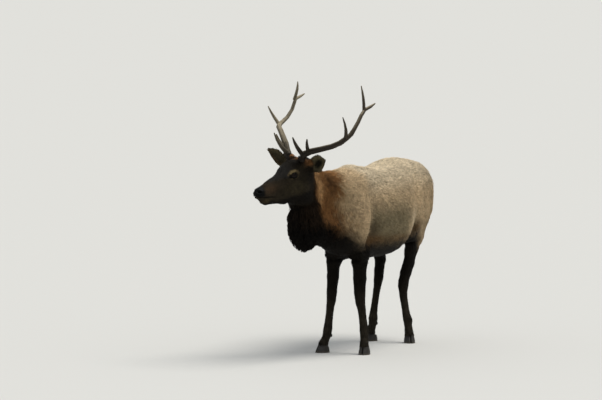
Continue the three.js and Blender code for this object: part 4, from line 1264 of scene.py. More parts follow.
# %% The tree
def scatter_tree():
    tree = bpy.data.node_groups.new("lay_locks", "GeometryNodeTree")
    for name, kind in TREE_INPUTS.items():
        tree.interface.new_socket(name, in_out="INPUT", socket_type=f"NodeSocket{kind}")
    tree.interface.new_socket("Coat", in_out="OUTPUT", socket_type="NodeSocketGeometry")
    given = add(tree, "NodeGroupInput").node.outputs
    skin_has = {name: add(tree, "GeometryNodeInputNamedAttribute", {"Name": name}, "Attribute",
                          data_type=kind) for name, kind in STORED.items()}
    drawn = {name: add(tree, "FunctionNodeRandomValue", {2: low, 3: high, "Seed": seed}, 1, data_type="FLOAT")
             for name, (low, high, seed) in DRAWN.items()}
    density = add(tree, "ShaderNodeMath", {0: given["Per square metre"], 1: skin_has["number"]},
                  operation="MULTIPLY")
    spots = add(tree, "GeometryNodeDistributePointsOnFaces",
                {"Mesh": given["Patch"], "Density": density, "Seed": given["Seed"]}, "Points",
                distribute_method="RANDOM")
    laid = add(tree, "FunctionNodeAxesToRotation",
               {"Primary Axis": skin_has["lie"], "Secondary Axis": skin_has["skin_normal"]},
               primary_axis="Y", secondary_axis="Z")
    other_way = add(tree, "ShaderNodeMath", {0: given["Unruly"], 1: -1.0}, operation="MULTIPLY")
    turn = add(tree, "FunctionNodeRandomValue", {2: other_way, 3: given["Unruly"], "Seed": 1}, 1,
               data_type="FLOAT")
    twist = add(tree, "FunctionNodeAxisAngleToRotation", {"Axis": (0, 0, 1), "Angle": turn})
    turned = add(tree, "FunctionNodeRotateRotation", {"Rotation": laid, "Rotate By": twist},
                 rotation_space="LOCAL")
    long = add(tree, "ShaderNodeMath", {0: skin_has["length"], 1: drawn["stretch"]}, operation="MULTIPLY")
    high = add(tree, "ShaderNodeMath", {0: skin_has["lift"], 1: drawn["height"]}, operation="MULTIPLY")
    size = add(tree, "ShaderNodeCombineXYZ", {0: skin_has["width"], 1: long, 2: high})
    shapes = add(tree, "GeometryNodeCollectionInfo",
                 {"Collection": given["Locks"], "Separate Children": True})
    locks = add(tree, "GeometryNodeInstanceOnPoints",
                {"Points": spots, "Instance": shapes, "Pick Instance": True,
                 "Rotation": turned, "Scale": size})
    toned = add(tree, "GeometryNodeStoreNamedAttribute",
                {"Geometry": locks, "Name": "tone", "Value": drawn["tone"]},
                data_type="FLOAT", domain="INSTANCE")
    whole = add(tree, "GeometryNodeRealizeInstances", {"Geometry": toned})
    place = add(tree, "ShaderNodeVectorMath", {0: skin_has["OFBake"], 1: skin_has["lock_uv"]},
                operation="ADD")
    last = add(tree, "GeometryNodeStoreNamedAttribute",
               {"Geometry": whole, "Name": "OFBake", "Value": place},
               data_type="FLOAT2", domain="CORNER")
    for name in ONLY_FOR_THE_TREE:
        last = add(tree, "GeometryNodeRemoveAttribute", {"Geometry": last, "Name": name})
    painted = add(tree, "GeometryNodeSetMaterial", {"Geometry": last, "Material": given["Material"]})
    add(tree, "NodeGroupOutput", {"Coat": painted})
    return tree


SCATTER = scatter_tree()
INPUT = {item.name: item.identifier for item in SCATTER.interface.items_tree if item.in_out == "INPUT"}
print("tree nodes", len(SCATTER.nodes), "inputs", list(INPUT))

# %% Lay locks on a patch of skin
STRAY = 0.011   # how far a tip may stand out beyond the outline


def drop_strays(made, each):
    """Takes out the few locks whose tips still stand out beyond the animal's outline."""
    tips = mesh_arrays(made.data)[0][each - 1::each]
    stray = [i for i, tip in enumerate(tips) if beyond_outline(tip) > STRAY]
    drop_points(made.data, [i * each + j for i in stray for j in range(each)])
    return len(stray)


def lay_coat(name, chosen, locks, per_square_metre, seed, material, unruly):
    """Locks over the chosen faces of the skin, as one plain mesh."""
    used, triangles = np.unique(corners[chosen], return_inverse=True)
    mesh = triangle_mesh(name, points[used], triangles.reshape(-1, 3))
    uv = mesh.uv_layers.new(name="OFBake")
    uv.data.foreach_set("uv", chart.reshape(-1, 3, 2)[chosen].ravel())
    own = {"length": length, "width": width, "lift": lift, "number": number}
    for key, values in {**own, **masks}.items():
        store(mesh, key, values[used])
    store(mesh, "lie", lie[used], "FLOAT_VECTOR")
    store(mesh, "skin_normal", normals[used], "FLOAT_VECTOR")
    made = new_object(name, mesh)
    modifier = made.modifiers.new("locks", "NODES")
    modifier.node_group = SCATTER
    for key, value in (("Locks", locks), ("Per square metre", float(per_square_metre)), ("Seed", seed),
                       ("Unruly", unruly), ("Material", material)):
        modifier[INPUT[key]] = value
    evaluated_mesh(made)
    strays = drop_strays(made, len(locks.objects[0].data.vertices))
    print(name, "triangles", len(made.data.polygons), "strays", strays)
    return made


print("a lock is dropped when its tip stands out more than", STRAY)

# %% [markdown]
# ## Colours
#
# Every colour is written as an sRGB hex code, as a colour chart gives it, and turned into linear light by
# one function, because shaders reckon in linear light. The coat's tints are laid over each other in
# order, each by its mask and no stronger than its own share.

# %% Palette
def linear(code):
    channels = [int(code[i:i + 2], 16) / 255 for i in (1, 3, 5)]
    return tuple(c / 12.92 if c <= 0.04045 else ((c + 0.055) / 1.055) ** 2.4 for c in channels) + (1.0,)


BUFF = "#C7AD88"
TINTS = [   # mask, colour, strength
    # this row: grey of the flank, partly painted shade low down; painted shade behind the shoulder; the pale
    # back, with a painted lit patch
    ("grey", "#7A7056", 0.88), ("hollow", "#3C3020", 0.85), ("cream", "#E1D0B1", 0.80),
    ("tawny", "#A5865C", 0.55), ("chestnut", "#845B34", 0.95), ("dusky", "#2C1D11", 0.90),
    ("light", "#DBAA76", 0.85), ("rust", "#755530", 0.80), ("orange", "#AD8252", 0.80),
    # the last tint of this row is dark brown, which also paints the shade in the flank fold
    ("rump", "#E2CCA4", 0.88), ("tail", "#B98E58", 0.85), ("umber", "#2C2116", 0.88),
    # the head's tints on this row and the next are darker than its own colours, partly painted shade
    ("black", "#0C0A07", 0.98), ("shank", "#3F392F", 0.80), ("face", "#2E281E", 1.0),
    ("slate", "#2C2B29", 0.80), ("olive", "#413A29", 0.80), ("brown", "#503F2E", 0.85),
    ("shade", "#100D0A", 0.88), ("tan", "#9A865F", 0.85), ("poll", "#A8764A", 0.80),
    # the last tint of this row is painted shade in the ears' cups
    ("ear_back", "#5C4D36", 1.0), ("ear_inside", "#6A614A", 1.0), ("ear_deep", "#12100B", 0.95),
    ("lid", "#0B0908", 0.97), ("bare", "#060606", 1.0),
]
print("tints", len(TINTS), "all with a mask", all(name in masks for name, _, _ in TINTS))

# %% [markdown]
# ## How a material is put together
#
# An image wrapped round the model could colour it, but it would hold one light and one view. These
# materials are worked out at each point instead, from its place in metres and from the masks, so every
# pattern keeps its real size. Three helpers do what all of them need: a surface, a pattern of a given
# size, and a weighted sum.

# %% Helpers for materials
def new_material(name, shader_of):
    """A material whose surface is the shader that shader_of builds from the tree and the place in it."""
    material = bpy.data.materials.new(name)
    material.use_nodes = True
    tree = material.node_tree
    tree.nodes.clear()
    place = add(tree, "ShaderNodeTexCoord", output="Object")
    add(tree, "ShaderNodeOutputMaterial", {0: shader_of(tree, place)})
    print("material", name, "nodes", len(tree.nodes))
    return material


def pattern(tree, place, size_mm, detail=3.0, stretch=(1, 1, 1)):
    """Cloudy patches of a real size; a stretch below 1 makes them longer that way."""
    squeezed = add(tree, "ShaderNodeMapping", {"Vector": place, "Scale": stretch})
    return add(tree, "ShaderNodeTexNoise", {"Vector": squeezed, "Scale": 1000 / size_mm, "Detail": detail})


def weighed(tree, base, *terms):
    """base plus each value times its weight."""
    for value, weight in terms:
        base = add(tree, "ShaderNodeMath", {0: value, 1: weight, 2: base}, operation="MULTIPLY_ADD")
    return base


def tinted(tree, colour, *layers, blend="MIX"):
    """Lays colours over the first in order, each by its share."""
    for share, over in layers:
        colour = add(tree, "ShaderNodeMix", {0: share, 6: colour, 7: over}, 2,
                     data_type="RGBA", blend_type=blend)
    return colour


print("a 10 mm pattern has a noise scale of", 1000 / 10, "per metre")

# %% [markdown]
# ## Skin and coat
#
# The coat is *hair*: keratin, matt, darker toward the root, each lock a little lighter or darker than the
# next. Under it the skin is painted as *short-haired hide*, with the grain of flat hairs in its bump,
# so that it looks furred where no lock stands. The nose, lips and lids are *bare skin*, pebbled and moist.

# %% Markings as a colour
PATCHES_MM, STREAKS_MM, CLUMPS_MM = 142.9, 33.33, 10.53   # soft patches; streaks; and clumps of guard hair


def coat_colour(tree, place):
    """The animal's markings with the mottling of a live coat: soft patches, streaks and clumps."""
    colour = linear(BUFF)
    for name, code, strength in TINTS:
        mask = add(tree, "ShaderNodeAttribute", output="Fac", attribute_name=name)
        colour = tinted(tree, colour, (weighed(tree, 0.0, (mask, strength)), linear(code)))
    level = weighed(tree, -0.05, (pattern(tree, place, PATCHES_MM, detail=2.0), 0.50),
                    (pattern(tree, place, STREAKS_MM, stretch=(1, 0.35, 0.8)), 0.70),
                    (pattern(tree, place, CLUMPS_MM, detail=2.0, stretch=(1, 0.35, 0.5)), 0.90))
    return tinted(tree, colour, (1.0, level), blend="MULTIPLY")


print("mottling from", CLUMPS_MM, "to", PATCHES_MM, "mm")

# %% Material of the skin
HAIR_MM = {"body": 2.381, "leg": 1.923, "face": 1.429}   # hair lying flat, coarser than real to show
PEBBLE_MM = 2.083                                        # pebbles of the bare nose
BETWEEN_LOCKS = (0.78, 0.76, 0.74, 1)                    # less light reaches the skin there


def hide(tree, place):
    """Short-haired hide: hair grain in the bump, matt; bare nose and lips moist."""
    colour = tinted(tree, coat_colour(tree, place), (1.0, BETWEEN_LOCKS), blend="MULTIPLY")
    bare, leg, face = (add(tree, "ShaderNodeAttribute", output="Fac", attribute_name=name)
                       for name in ("bare", "leg", "face"))
    along_head = add(tree, "ShaderNodeVectorRotate",
                     {"Vector": place, "Rotation": (0.0, HEAD_PITCH, math.atan2(AHEAD[1], AHEAD[0]))},
                     rotation_type="EULER_XYZ", invert=True)
    lying_back = pattern(tree, place, HAIR_MM["body"], stretch=(1, 0.16, 0.5))
    lying_down = pattern(tree, place, HAIR_MM["leg"], stretch=(1, 1, 0.14))
    on_the_face = pattern(tree, along_head, HAIR_MM["face"], stretch=(0.16, 1, 1))
    pebbles = add(tree, "ShaderNodeTexVoronoi", {"Vector": place, "Scale": 1000 / PEBBLE_MM}, "Distance")
    relief = tinted(tree, lying_back, (leg, lying_down), (face, on_the_face), (bare, pebbles))
    bumped = add(tree, "ShaderNodeBump", {"Height": relief, "Strength": 0.55, "Distance": 0.0015})
    return add(tree, "ShaderNodeBsdfPrincipled", {
        "Base Color": colour, "Roughness": weighed(tree, 0.80, (bare, -0.34)), "Specular IOR Level": 0.07,
        "Normal": bumped})


HIDE = new_material("hide under the coat", hide)

# %% Material of the coat
STRANDS = 9.0          # strands across a lock's width
OTHER_STRANDS = 57.0   # how far apart in the noise two locks' strands are, so that no two match


def guard_hair(tree, place):
    """Locks of hair: dark at the root, lighter at the tip, each its own tone, fine strands across it."""
    tone, along, across = (add(tree, "ShaderNodeAttribute", output="Fac", attribute_name=name)
                           for name in ("tone", "along", "across"))
    strand_at = weighed(tree, 0.0, (across, STRANDS), (tone, OTHER_STRANDS))
    strands = add(tree, "ShaderNodeTexNoise", {"W": strand_at, "Scale": 1.0, "Detail": 1.0},
                  noise_dimensions="1D")
    level = weighed(tree, 0.52, (tone, 0.24), (along, 0.38), (strands, 0.24))
    colour = tinted(tree, coat_colour(tree, place), (1.0, level), blend="MULTIPLY")
    own = add(tree, "ShaderNodeNewGeometry", output="Normal")
    root = add(tree, "ShaderNodeAttribute", output="Vector", attribute_name="skin_normal")
    soft = add(tree, "ShaderNodeVectorMath", {0: own, "Scale": 0.55}, operation="SCALE")
    soft = add(tree, "ShaderNodeVectorMath", {0: soft, 1: root}, operation="ADD")
    soft = add(tree, "ShaderNodeVectorMath", {0: soft}, operation="NORMALIZE")
    bumped = add(tree, "ShaderNodeBump",
                 {"Height": strands, "Strength": 0.35, "Distance": 0.0006, "Normal": soft})
    return add(tree, "ShaderNodeBsdfPrincipled", {
        "Base Color": colour, "Roughness": 0.70, "Specular IOR Level": 0.08, "Normal": bumped})


HAIR = new_material("guard hair", guard_hair)
for name, values in (*masks.items(), ("leg", np.maximum(share["fore"], share["hind"]))):
    store(skin.data, name, values)
skin.data.materials.append(HIDE)

# %% [markdown]
# ## The coat, region by region
#
# One coat for the whole animal would be too heavy a piece to handle, so it is laid region by region. Each
# takes the faces that no region before it took, so no stretch of skin has two coats, and its locks' number
# suits their size: many small ones on the face and ears, fewer long ones under the neck.

# %% Lay the coat
at = {name: values[corners].mean(axis=1) for name, values in share.items()}
back = body[:, 1][corners].mean(axis=1)
ahead = head[:, 0][corners].mean(axis=1)
CHOICES = [   # name, faces, locks, per square metre, how far from the lie
    ("coat_ears", at["ear"] > 0.4, short_locks, 80_000, 0.16),
    ("coat_tail", at["tail"] > 0.5, long_locks, 40_000, 0.16),
    ("coat_forelegs", at["fore"] > 0.5, short_locks, 44_000, 0.08),
    ("coat_hindlegs", at["hind"] > 0.5, short_locks, 42_000, 0.08),
    ("coat_face", (at["head"] > 0.5) & (ahead > 0.23), short_locks, 90_000, 0.12),
    ("coat_cheeks", at["head"] > 0.5, short_locks, 66_000, 0.12),
    ("coat_mane", at["mane"] > 0.35, long_locks, 36_000, 0.12),
    ("coat_neck", at["neck"] > 0.5, short_locks, 54_000, 0.10),
    ("coat_shoulder", back < 0.20, short_locks, 21_000, 0.08),
    ("coat_barrel", back < 0.60, short_locks, 20_000, 0.08),
    ("coat_haunch", back < 0.86, short_locks, 20_000, 0.08),
    ("coat_rump", np.full(len(corners), True), short_locks, 20_000, 0.08),
]
taken = np.zeros(len(corners), dtype=bool)
coat = {}
for seed, (name, faces, locks, per_square_metre, unruly) in enumerate(CHOICES, start=1):
    chosen = faces & ~taken
    taken |= chosen
    coat[name] = lay_coat(name, chosen, locks, per_square_metre, seed, HAIR, unruly)
print("coat triangles", sum(len(piece.data.polygons) for piece in coat.values()))

# %% [markdown]
# ## Eyes and lids
#
# A deer's eye is a *wet ball* with a dark amber iris, a wide level pupil and a clear bulge in front. Glass
# over a painted iris would be truer, but at life size the bulge and a thin gloss give the same glint.
# The lid's edge is *bare black skin*, a thin tube round the opening that hides where skin and ball meet.

# %% Eyeballs
BULGE = 0.035
PUPIL = (0.40, 0.20)   # half-width and half-height


def eyeball(name, side):
    ball = bmesh.new()
    bmesh.ops.create_uvsphere(ball, u_segments=48, v_segments=32, radius=EYE_RADIUS)
    mesh = bpy.data.meshes.new("eyeball")
    ball.to_mesh(mesh)
    ball.free()
    _, above, outward = eye_axes(side)
    sphere, _ = mesh_arrays(mesh)
    toward = normalized(sphere)
    facing = toward @ outward
    sphere = sphere * (1 + BULGE * smoothstep(0.80, 0.95, facing))[:, None]
    level = normalized(np.cross(above, outward))
    pupil = np.hypot((toward @ level) / PUPIL[0], (toward @ above) / PUPIL[1])
    store(mesh, "from_pupil", np.where(facing > 0, pupil, 9.0))
    store(mesh, "from_axis", np.arccos(np.clip(facing, -1, 1)))
    set_points(mesh, sphere + eye_centre(side))
    shade_smooth(mesh)
    return new_object(f"eyeball_{name}", mesh)


eyes = {name: eyeball(name, side) for name, side in SIDES.items()}
print("eye radius", EYE_RADIUS, "faces", len(eyes["left"].data.polygons))

# %% Rims of the lids
RIM = {"thick": 0.0016, "sunk": 0.0004, "wider": 1.02, "rings": 56, "sides": 8}


def rim_path(side):
    """Places round the edge of the eye's opening, on the sphere that the lids follow."""
    axes = np.array(eye_axes(side))
    path = []
    for turn in np.linspace(0, 2 * math.pi, RIM["rings"], endpoint=False):
        tall = OPENING["above"] if math.sin(turn) > 0 else OPENING["below"]
        sideways = OPENING["along"] * math.cos(turn) * RIM["wider"]
        upward = tall * math.sin(turn) * RIM["wider"]
        toward = normalized(np.array([math.tan(sideways), math.tan(upward), 1.0]))
        path.append(eye_centre(side) + toward @ axes * (LID_RADIUS - RIM["sunk"]))
    return np.array(path)


def outwards(made):
    """Turns the faces of a closed mesh to the outside."""
    shell = bmesh.new()
    shell.from_mesh(made.data)
    bmesh.ops.recalc_face_normals(shell, faces=shell.faces)
    shell.to_mesh(made.data)
    shell.free()


def lid_rim(name, side):
    path, rings, sides = rim_path(side), RIM["rings"], RIM["sides"]
    points, faces = [], []
    for i in range(rings):
        along = normalized(path[(i + 1) % rings] - path[i - 1])
        off = normalized(path[i] - eye_centre(side))
        beside = np.cross(along, off)
        following = (i + 1) % rings
        for j in range(sides):
            turn = 2 * math.pi * j / sides
            points.append(path[i] + (beside * math.cos(turn) + off * math.sin(turn)) * RIM["thick"])
            k = (j + 1) % sides
            faces.append((i * sides + j, following * sides + j, following * sides + k, i * sides + k))
    made = from_arrays(f"lid_rim_{name}", points, faces)
    outwards(made)
    return made


rims = {name: lid_rim(name, side) for name, side in SIDES.items()}
print("rim faces", len(rims["left"].data.polygons))

# %% Materials of the eyes
SPOKES_MM, PORES_MM = 1.111, 0.667


def wet_eye(tree, place):
    """Dark amber iris with fine spokes round a black pupil, dark white of the eye, a wet gloss over all."""
    from_pupil, from_axis = (add(tree, "ShaderNodeAttribute", output="Fac", attribute_name=name)
                             for name in ("from_pupil", "from_axis"))
    spokes = pattern(tree, place, SPOKES_MM, detail=2.0)
    iris = tinted(tree, linear("#0C0704"), (spokes, linear("#20130A")))
    outside_pupil = add(tree, "ShaderNodeMapRange", {"Value": from_pupil, 1: 0.9, 2: 1.1})
    white = add(tree, "ShaderNodeMapRange", {"Value": from_axis, 1: 0.62, 2: 0.72})
    colour = tinted(tree, linear("#050506"), (outside_pupil, iris), (white, linear("#1C140F")))
    return add(tree, "ShaderNodeBsdfPrincipled", {
        "Base Color": colour, "Roughness": 0.40, "Specular IOR Level": 0.03,
        "Coat Weight": 0.4, "Coat Roughness": 0.03, "Coat IOR": 1.34})


def lid_edge(tree, place):
    """Bare black skin of the lid's edge, with pores and a damp sheen."""
    pores = pattern(tree, place, PORES_MM)
    colour = tinted(tree, linear("#0C0A09"), (pores, linear("#191410")))
    bumped = add(tree, "ShaderNodeBump", {"Height": pores, "Strength": 0.3, "Distance": 0.0004})
    return add(tree, "ShaderNodeBsdfPrincipled", {
        "Base Color": colour, "Roughness": 0.45, "Specular IOR Level": 0.14, "Normal": bumped})


EYE = new_material("eye", wet_eye)
LID_EDGE = new_material("lid edge", lid_edge)
for name in SIDES:
    eyes[name].data.materials.append(EYE)
    rims[name].data.materials.append(LID_EDGE)

# %% [markdown]
# ## Antlers
#
# Antlers are bare bone, rubbed clean of velvet on bark, which stains them dark low down and leaves
# the tips and ridges pale. Long gutters run up them, where the blood vessels lay. A field told from the way
# the surface faces is nearly constant along a beam, so it makes such gutters without a drawn path. Small
# knobs stand on the lower beam and round the burr. Faces that look up are paler, a painted highlight, and
# the browns are darker than the bone's own, partly painted shade. The right antler is the paler of the
# two, partly from bleaching and partly painted light; the left is darkened as painted shade.

# %% Shapes of the antlers
ANTLER_PARTS = ("beam_lower", "beam_upper", "brow", "bez", "trez", "crown")
ANTLER_VOXEL = 0.0024
ANTLER_SWELL = 0.0008
FULLER_BEAM = 0.0034
# how pale each antler is, partly from bleaching and partly painted light; the left antler's low share is
# painted shade
BLEACHED_AND_LIT = {"left": 0.12, "right": 1.0}


def antler(side):
    made = solid_copy(f"antler_{side}_bone", [f"antler_{side}_{part}" for part in ANTLER_PARTS],
                      ANTLER_SWELL, ANTLER_VOXEL)
    points, edges = mesh_arrays(made.data)
    points = smooth(points, edges, 30)
    set_points(made.data, points)
    normals = normalized(smooth(point_normals(made.data), edges, 6, out_step=0))
    root, _ = box_of(f"antler_{side}_beam_lower")
    _, top = box_of(f"antler_{side}_crown")
    above_root = points[:, 2] - root[2]
    rise = above_root / (top[2] - root[2])
    gutters = ripple(normals, 0.62, seed=41) + 0.6 * ripple(normals, 0.30, seed=42)
    knobs = np.clip(ripple(points, 0.014, seed=43) - 0.9, 0, 1.2)
    rough = 1 - smoothstep(0.25, 0.75, rise)
    burr = 1 - smoothstep(0.012, 0.024, above_root)
    move = -0.00042 * gutters * (0.35 + 0.65 * rough) + 0.0012 * knobs * rough
    move += burr * (0.0012 + 0.0008 * ripple(points, 0.009, seed=44))
    move += FULLER_BEAM * (1 - smoothstep(0.05, 0.50, rise))
    set_points(made.data, points + normals * move[:, None])
    seen = {"rise": rise, "gutter": gutters, "face_up": normals[:, 2],
            "bleached_and_lit": np.full(len(points), BLEACHED_AND_LIT[side])}
    for name, values in seen.items():
        store(made.data, name, values)
    store(made.data, "surface", normals, "FLOAT_VECTOR")
    shade_smooth(made.data)
    print(made.name, "quads", len(made.data.polygons), "rise", rise.min().round(2), rise.max().round(2))
    return made


antlers = {side: antler(side) for side in SIDES}

# %% Material of the antlers
STAIN_MM, PORE_GRAIN_MM = 38.46, 3.846
GROOVES = 14.0   # grooves round a beam, since they are told from the way it faces
ANTLER_RANGES = {   # what, told from, starts at, full at
    # the top range marks faces that look up, for a painted highlight
    "low": ("rise", 0.05, 0.55), "top": ("face_up", 0.35, 0.90), "ridge": ("gutter", 0.3, -1.4),
    "deep": ("gutter", 0.6, 1.8), "tip": ("rise", 0.82, 1.0)}


def antler_bone(tree, place):
    """Weathered antler: bark-stained brown, darkest low down and in the gutters, pale on tips and ridges, a
    painted highlight on faces that look up, and browns partly painted shade.
    """
    seen = {name: add(tree, "ShaderNodeAttribute", output="Fac", attribute_name=name)
            for name in ("rise", "gutter", "face_up", "bleached_and_lit")}
    span = {name: add(tree, "ShaderNodeMapRange", {"Value": seen[source], 1: start, 2: full})
            for name, (source, start, full) in ANTLER_RANGES.items()}
    bleached_and_lit = seen["bleached_and_lit"]
    low, tip = span["low"], span["tip"]
    clear = weighed(tree, 0.10, (low, 0.90))
    clear_ridge = weighed(tree, 0.0, (clear, weighed(tree, 0.3, (bleached_and_lit, 1.0))))
    shares = (   # value, weight, strength, colour
        (pattern(tree, place, STAIN_MM, detail=4.0), 1.0, 0.45, "#241C12"),
        # a paler layer from bleaching and painted light, then a painted highlight on faces that look up
        (low, bleached_and_lit, 0.60, "#938A74"), (span["top"], clear, 0.75, "#B0A286"),
        (span["ridge"], clear_ridge, 0.30, "#8F8470"), (span["deep"], 1.0, 0.65, "#1E1811"),
        (tip, 1.0, 0.30, "#B5AB95"))
    layers = [(weighed(tree, 0.0, (weighed(tree, 0.0, (value, weight)), strength)), linear(code))
              for value, weight, strength, code in shares]
    # the bark-stained browns, darker than the bone's own as painted shade on the undersides
    colour = tinted(tree, linear("#120D08"), (low, linear("#2A2014")), *layers)
    surface = add(tree, "ShaderNodeAttribute", output="Vector", attribute_name="surface")
    grooves = add(tree, "ShaderNodeTexNoise", {"Vector": surface, "Scale": GROOVES, "Detail": 4.0})
    relief = weighed(tree, 0.0, (grooves, 0.7), (pattern(tree, place, PORE_GRAIN_MM, detail=4.0), 0.3))
    bumped = add(tree, "ShaderNodeBump", {"Height": relief, "Strength": 0.6, "Distance": 0.0012})
    return add(tree, "ShaderNodeBsdfPrincipled", {
        "Base Color": colour, "Roughness": weighed(tree, 0.62, (tip, -0.2)), "Specular IOR Level": 0.2,
        "Normal": bumped})


BONE = new_material("antler bone", antler_bone)
for piece in antlers.values():
    piece.data.materials.append(BONE)

# %% [markdown]
# ## Hooves
#
# A hoof is a horn shell over each toe, with rings of growth parallel to the hair line. The two toes and
# two dewclaws of each foot are wrapped like the skin, but smoothed less, to keep the sole's crisp rim.
# The dewclaws lie close against the back of the pastern, and each toe narrows toward its top.

# %% Toes and dewclaws
CLAW_SIZE, CLAW_FLATTER, CLAW_POINT, CLAW_SUNK = 0.030, 0.30, 0.45, 0.001
TOE_NARROWER, NARROWS_FROM, NARROWS_TO = 0.15, 0.015, 0.062


def horn_nodes(leg):
    return [f"{leg}_{part}_{side}" for part in ("hoof", "dewclaw") for side in ("inner", "outer")]


def claws(points, leg):
    """Lays each dewclaw against the back of the pastern, flatter, and drawn down to a blunt point."""
    for side in ("inner", "outer"):
        claw = centre_of(f"{leg}_dewclaw_{side}")
        own = np.linalg.norm(points - claw, axis=1) < CLAW_SIZE
        foot = np.array(OUTLINE.find_nearest(Vector(claw))[0])
        inward = normalized(foot - claw)
        off = points[own] - claw
        off -= inward * (CLAW_FLATTER * (off @ inward))[:, None]
        off[:, :2] *= (1 - CLAW_POINT * smoothstep(0.000, 0.016, -off[:, 2]))[:, None]
        points[own] = foot - inward * CLAW_SUNK + off
    return points


def toes(points, leg):
    """Each toe narrows from the ground to the coronet, where the hair starts."""
    for side in ("inner", "outer"):
        low, high = box_of(f"{leg}_hoof_{side}")
        own = np.all((points > low - 0.002) & (points < high + 0.002), axis=1)
        middle = ((low + high) / 2)[:2]
        narrower = 1 - TOE_NARROWER * smoothstep(NARROWS_FROM, NARROWS_TO, points[own, 2])
        points[own, :2] = middle + (points[own, :2] - middle) * narrower[:, None]
    return points


print("nodes of one foot", horn_nodes(LEGS[0]))

# %% Shapes of the hooves
HORN_SWELL, HORN_VOXEL = 0.0003, 0.0022
RING_SPACING, RING_SLANT, RING_HEIGHT = 0.0095, 0.28, 0.00016


def on_the_ground(mesh, points):
    points[:, 2] = np.maximum(points[:, 2], 0)
    set_points(mesh, points)


def hooves(leg):
    made = solid_copy(f"{leg}_horn", horn_nodes(leg), HORN_SWELL, HORN_VOXEL, shells=4)
    points, edges = mesh_arrays(made.data)
    points = toes(claws(smooth(points, edges, 8), leg), leg)
    on_the_ground(made.data, points)
    slanted = points[:, 2] + RING_SLANT * (points - centre_of(*horn_nodes(leg))) @ AHEAD
    rings = np.sin(slanted * 2 * math.pi / RING_SPACING) * smoothstep(0.004, 0.012, points[:, 2])
    on_the_ground(made.data, points + point_normals(made.data) * (RING_HEIGHT * rings)[:, None])
    store(made.data, "ring", rings)
    shade_smooth(made.data)
    return made


horns = {leg: hooves(leg) for leg in LEGS}
print("hooves", {leg: len(piece.data.polygons) for leg, piece in horns.items()})

# %% Material of the hooves
SCUFF_MM, HORN_GRAIN_MM, WORN_HEIGHT = 7.143, 1.667, 0.016


def hoof_horn(tree, place):
    """Hoof horn: near black, worn grey at the rim by the ground, rings of growth, a dull polish."""
    height = add(tree, "ShaderNodeSeparateXYZ", {0: place}, 2)
    worn = add(tree, "ShaderNodeMapRange", {"Value": height, 1: WORN_HEIGHT, 2: 0.0})
    scuff = pattern(tree, place, SCUFF_MM, detail=5.0)
    scuffed_rim = weighed(tree, 0.0, (worn, scuff))
    colour = tinted(tree, linear("#15120F"), (scuff, linear("#2E2820")), (scuffed_rim, linear("#5E5546")))
    ring = add(tree, "ShaderNodeAttribute", output="Fac", attribute_name="ring")
    relief = weighed(tree, pattern(tree, place, HORN_GRAIN_MM), (ring, 0.25))
    bumped = add(tree, "ShaderNodeBump", {"Height": relief, "Strength": 0.4, "Distance": 0.0005})
    return add(tree, "ShaderNodeBsdfPrincipled", {"Base Color": colour, "Roughness": 0.46, "Normal": bumped})


HORN = new_material("hoof horn", hoof_horn)
for piece in horns.values():
    piece.data.materials.append(HORN)

# %% [markdown]
# ## Camera, floor and light
#
# A near camera would swell the head, which is turned toward it, so a long lens looks from 48 m, at the
# animal's chest height and a little left of straight ahead of it. A plain pale floor runs past the
# horizon, under an even sky-like dome and one broad soft key from the upper left.

# %% Camera
AZIMUTH, ELEVATION, DISTANCE = math.radians(24), math.radians(5.3), 48.0
PIXELS_PER_METRE, PICTURE_PIXELS = 135, 602
HOOF_IN_PICTURE = (63.2, 154.5)   # how far the near fore hoof is right of and below the middle, in pixels
SENSOR_MM = 36.0
toward_camera = np.array([math.sin(AZIMUTH) * math.cos(ELEVATION), -math.cos(AZIMUTH) * math.cos(ELEVATION),
                          math.sin(ELEVATION)])
right = np.array([math.cos(AZIMUTH), math.sin(AZIMUTH), 0.0])
above = np.cross(toward_camera, right)
aim = ORIGIN + np.array([0.155, -0.030, 0.0])
aim += above * (HOOF_IN_PICTURE[1] / PIXELS_PER_METRE) - right * (HOOF_IN_PICTURE[0] / PIXELS_PER_METRE)
camera_data = bpy.data.cameras.new("camera")
camera_data.sensor_width = SENSOR_MM
camera_data.lens = SENSOR_MM * DISTANCE * PIXELS_PER_METRE / PICTURE_PIXELS
camera_data.clip_end = 900
camera = new_object("camera", camera_data)
camera.location = Vector(aim + toward_camera * DISTANCE)
camera.rotation_mode = "QUATERNION"
camera.rotation_quaternion = Vector(-toward_camera).to_track_quat("-Z", "Y")
bpy.context.scene.camera = camera
print("lens", round(camera_data.lens, 1), "mm")

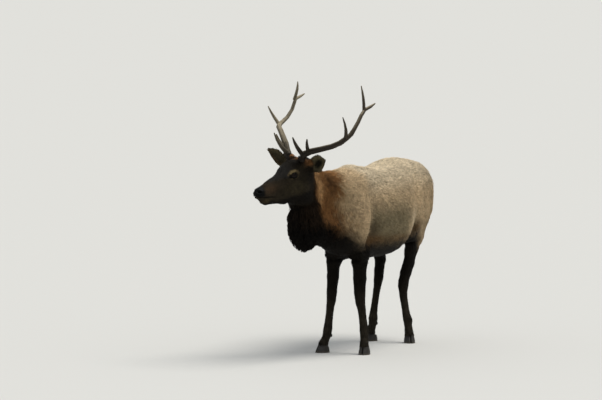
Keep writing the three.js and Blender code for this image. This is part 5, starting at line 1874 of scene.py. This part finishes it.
# %% Floor
FLOOR = 400.0   # half its side
floor_corners = np.array([[-FLOOR, -FLOOR, 0], [FLOOR, -FLOOR, 0], [FLOOR, FLOOR, 0], [-FLOOR, FLOOR, 0]])
floor = new_object("floor", triangle_mesh("floor", floor_corners, np.array([[0, 1, 2], [0, 2, 3]])))


def plaster(tree, place):
    """Smooth pale plaster, matt, so that it takes a soft shadow and shows nothing else."""
    return add(tree, "ShaderNodeBsdfPrincipled", {"Base Color": linear("#D2D1CC"), "Roughness": 0.85})


floor.data.materials.append(new_material("studio floor", plaster))

# %% Light
SKY = {"horizon": 0.18, "zenith": 0.85}
KEY = {"energy": 2.1, "angle": math.radians(35), "travels": (-0.40, -0.22, -1.0), "colour": (1.0, 0.97, 0.92)}
world = bpy.data.worlds.new("studio")
bpy.context.scene.world = world
world.use_nodes = True
tree = world.node_tree
tree.nodes.clear()
height = add(tree, "ShaderNodeSeparateXYZ", {0: add(tree, "ShaderNodeTexCoord", output="Generated")}, 2)
level = add(tree, "ShaderNodeMapRange",
            {"Value": height, 1: 0.0, 2: 0.8, 3: SKY["horizon"], 4: SKY["zenith"]})
dome = add(tree, "ShaderNodeBackground", {"Color": linear("#E9EDF2"), "Strength": level})
add(tree, "ShaderNodeOutputWorld", {0: dome})
key_data = bpy.data.lights.new("key", "SUN")
key_data.energy = KEY["energy"]
key_data.angle = KEY["angle"]
key_data.color = KEY["colour"]
key = new_object("key", key_data)
key.rotation_mode = "QUATERNION"
key.rotation_quaternion = Vector(KEY["travels"]).to_track_quat("-Z", "Y")
bpy.context.scene.view_settings.view_transform = "Standard"
print("key", KEY["energy"], "dome", SKY)

# %% [markdown]
# ## Each piece's place in the frame
#
# A mounted animal doesn't move, so every piece rides on the root. The skin stands for all the flesh, and
# each other piece for the nodes it was made from.

# %% Tell the frame
for piece in [skin, *coat.values(), *eyes.values(), *rims.values(), *antlers.values(), *horns.values()]:
    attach(piece, "root")
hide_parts(*FLESH)
for side in SIDES:
    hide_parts(f"eye_{side}")
    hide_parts(*[f"antler_{side}_{part}" for part in ANTLER_PARTS])
for leg, piece in horns.items():
    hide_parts(*horn_nodes(leg))
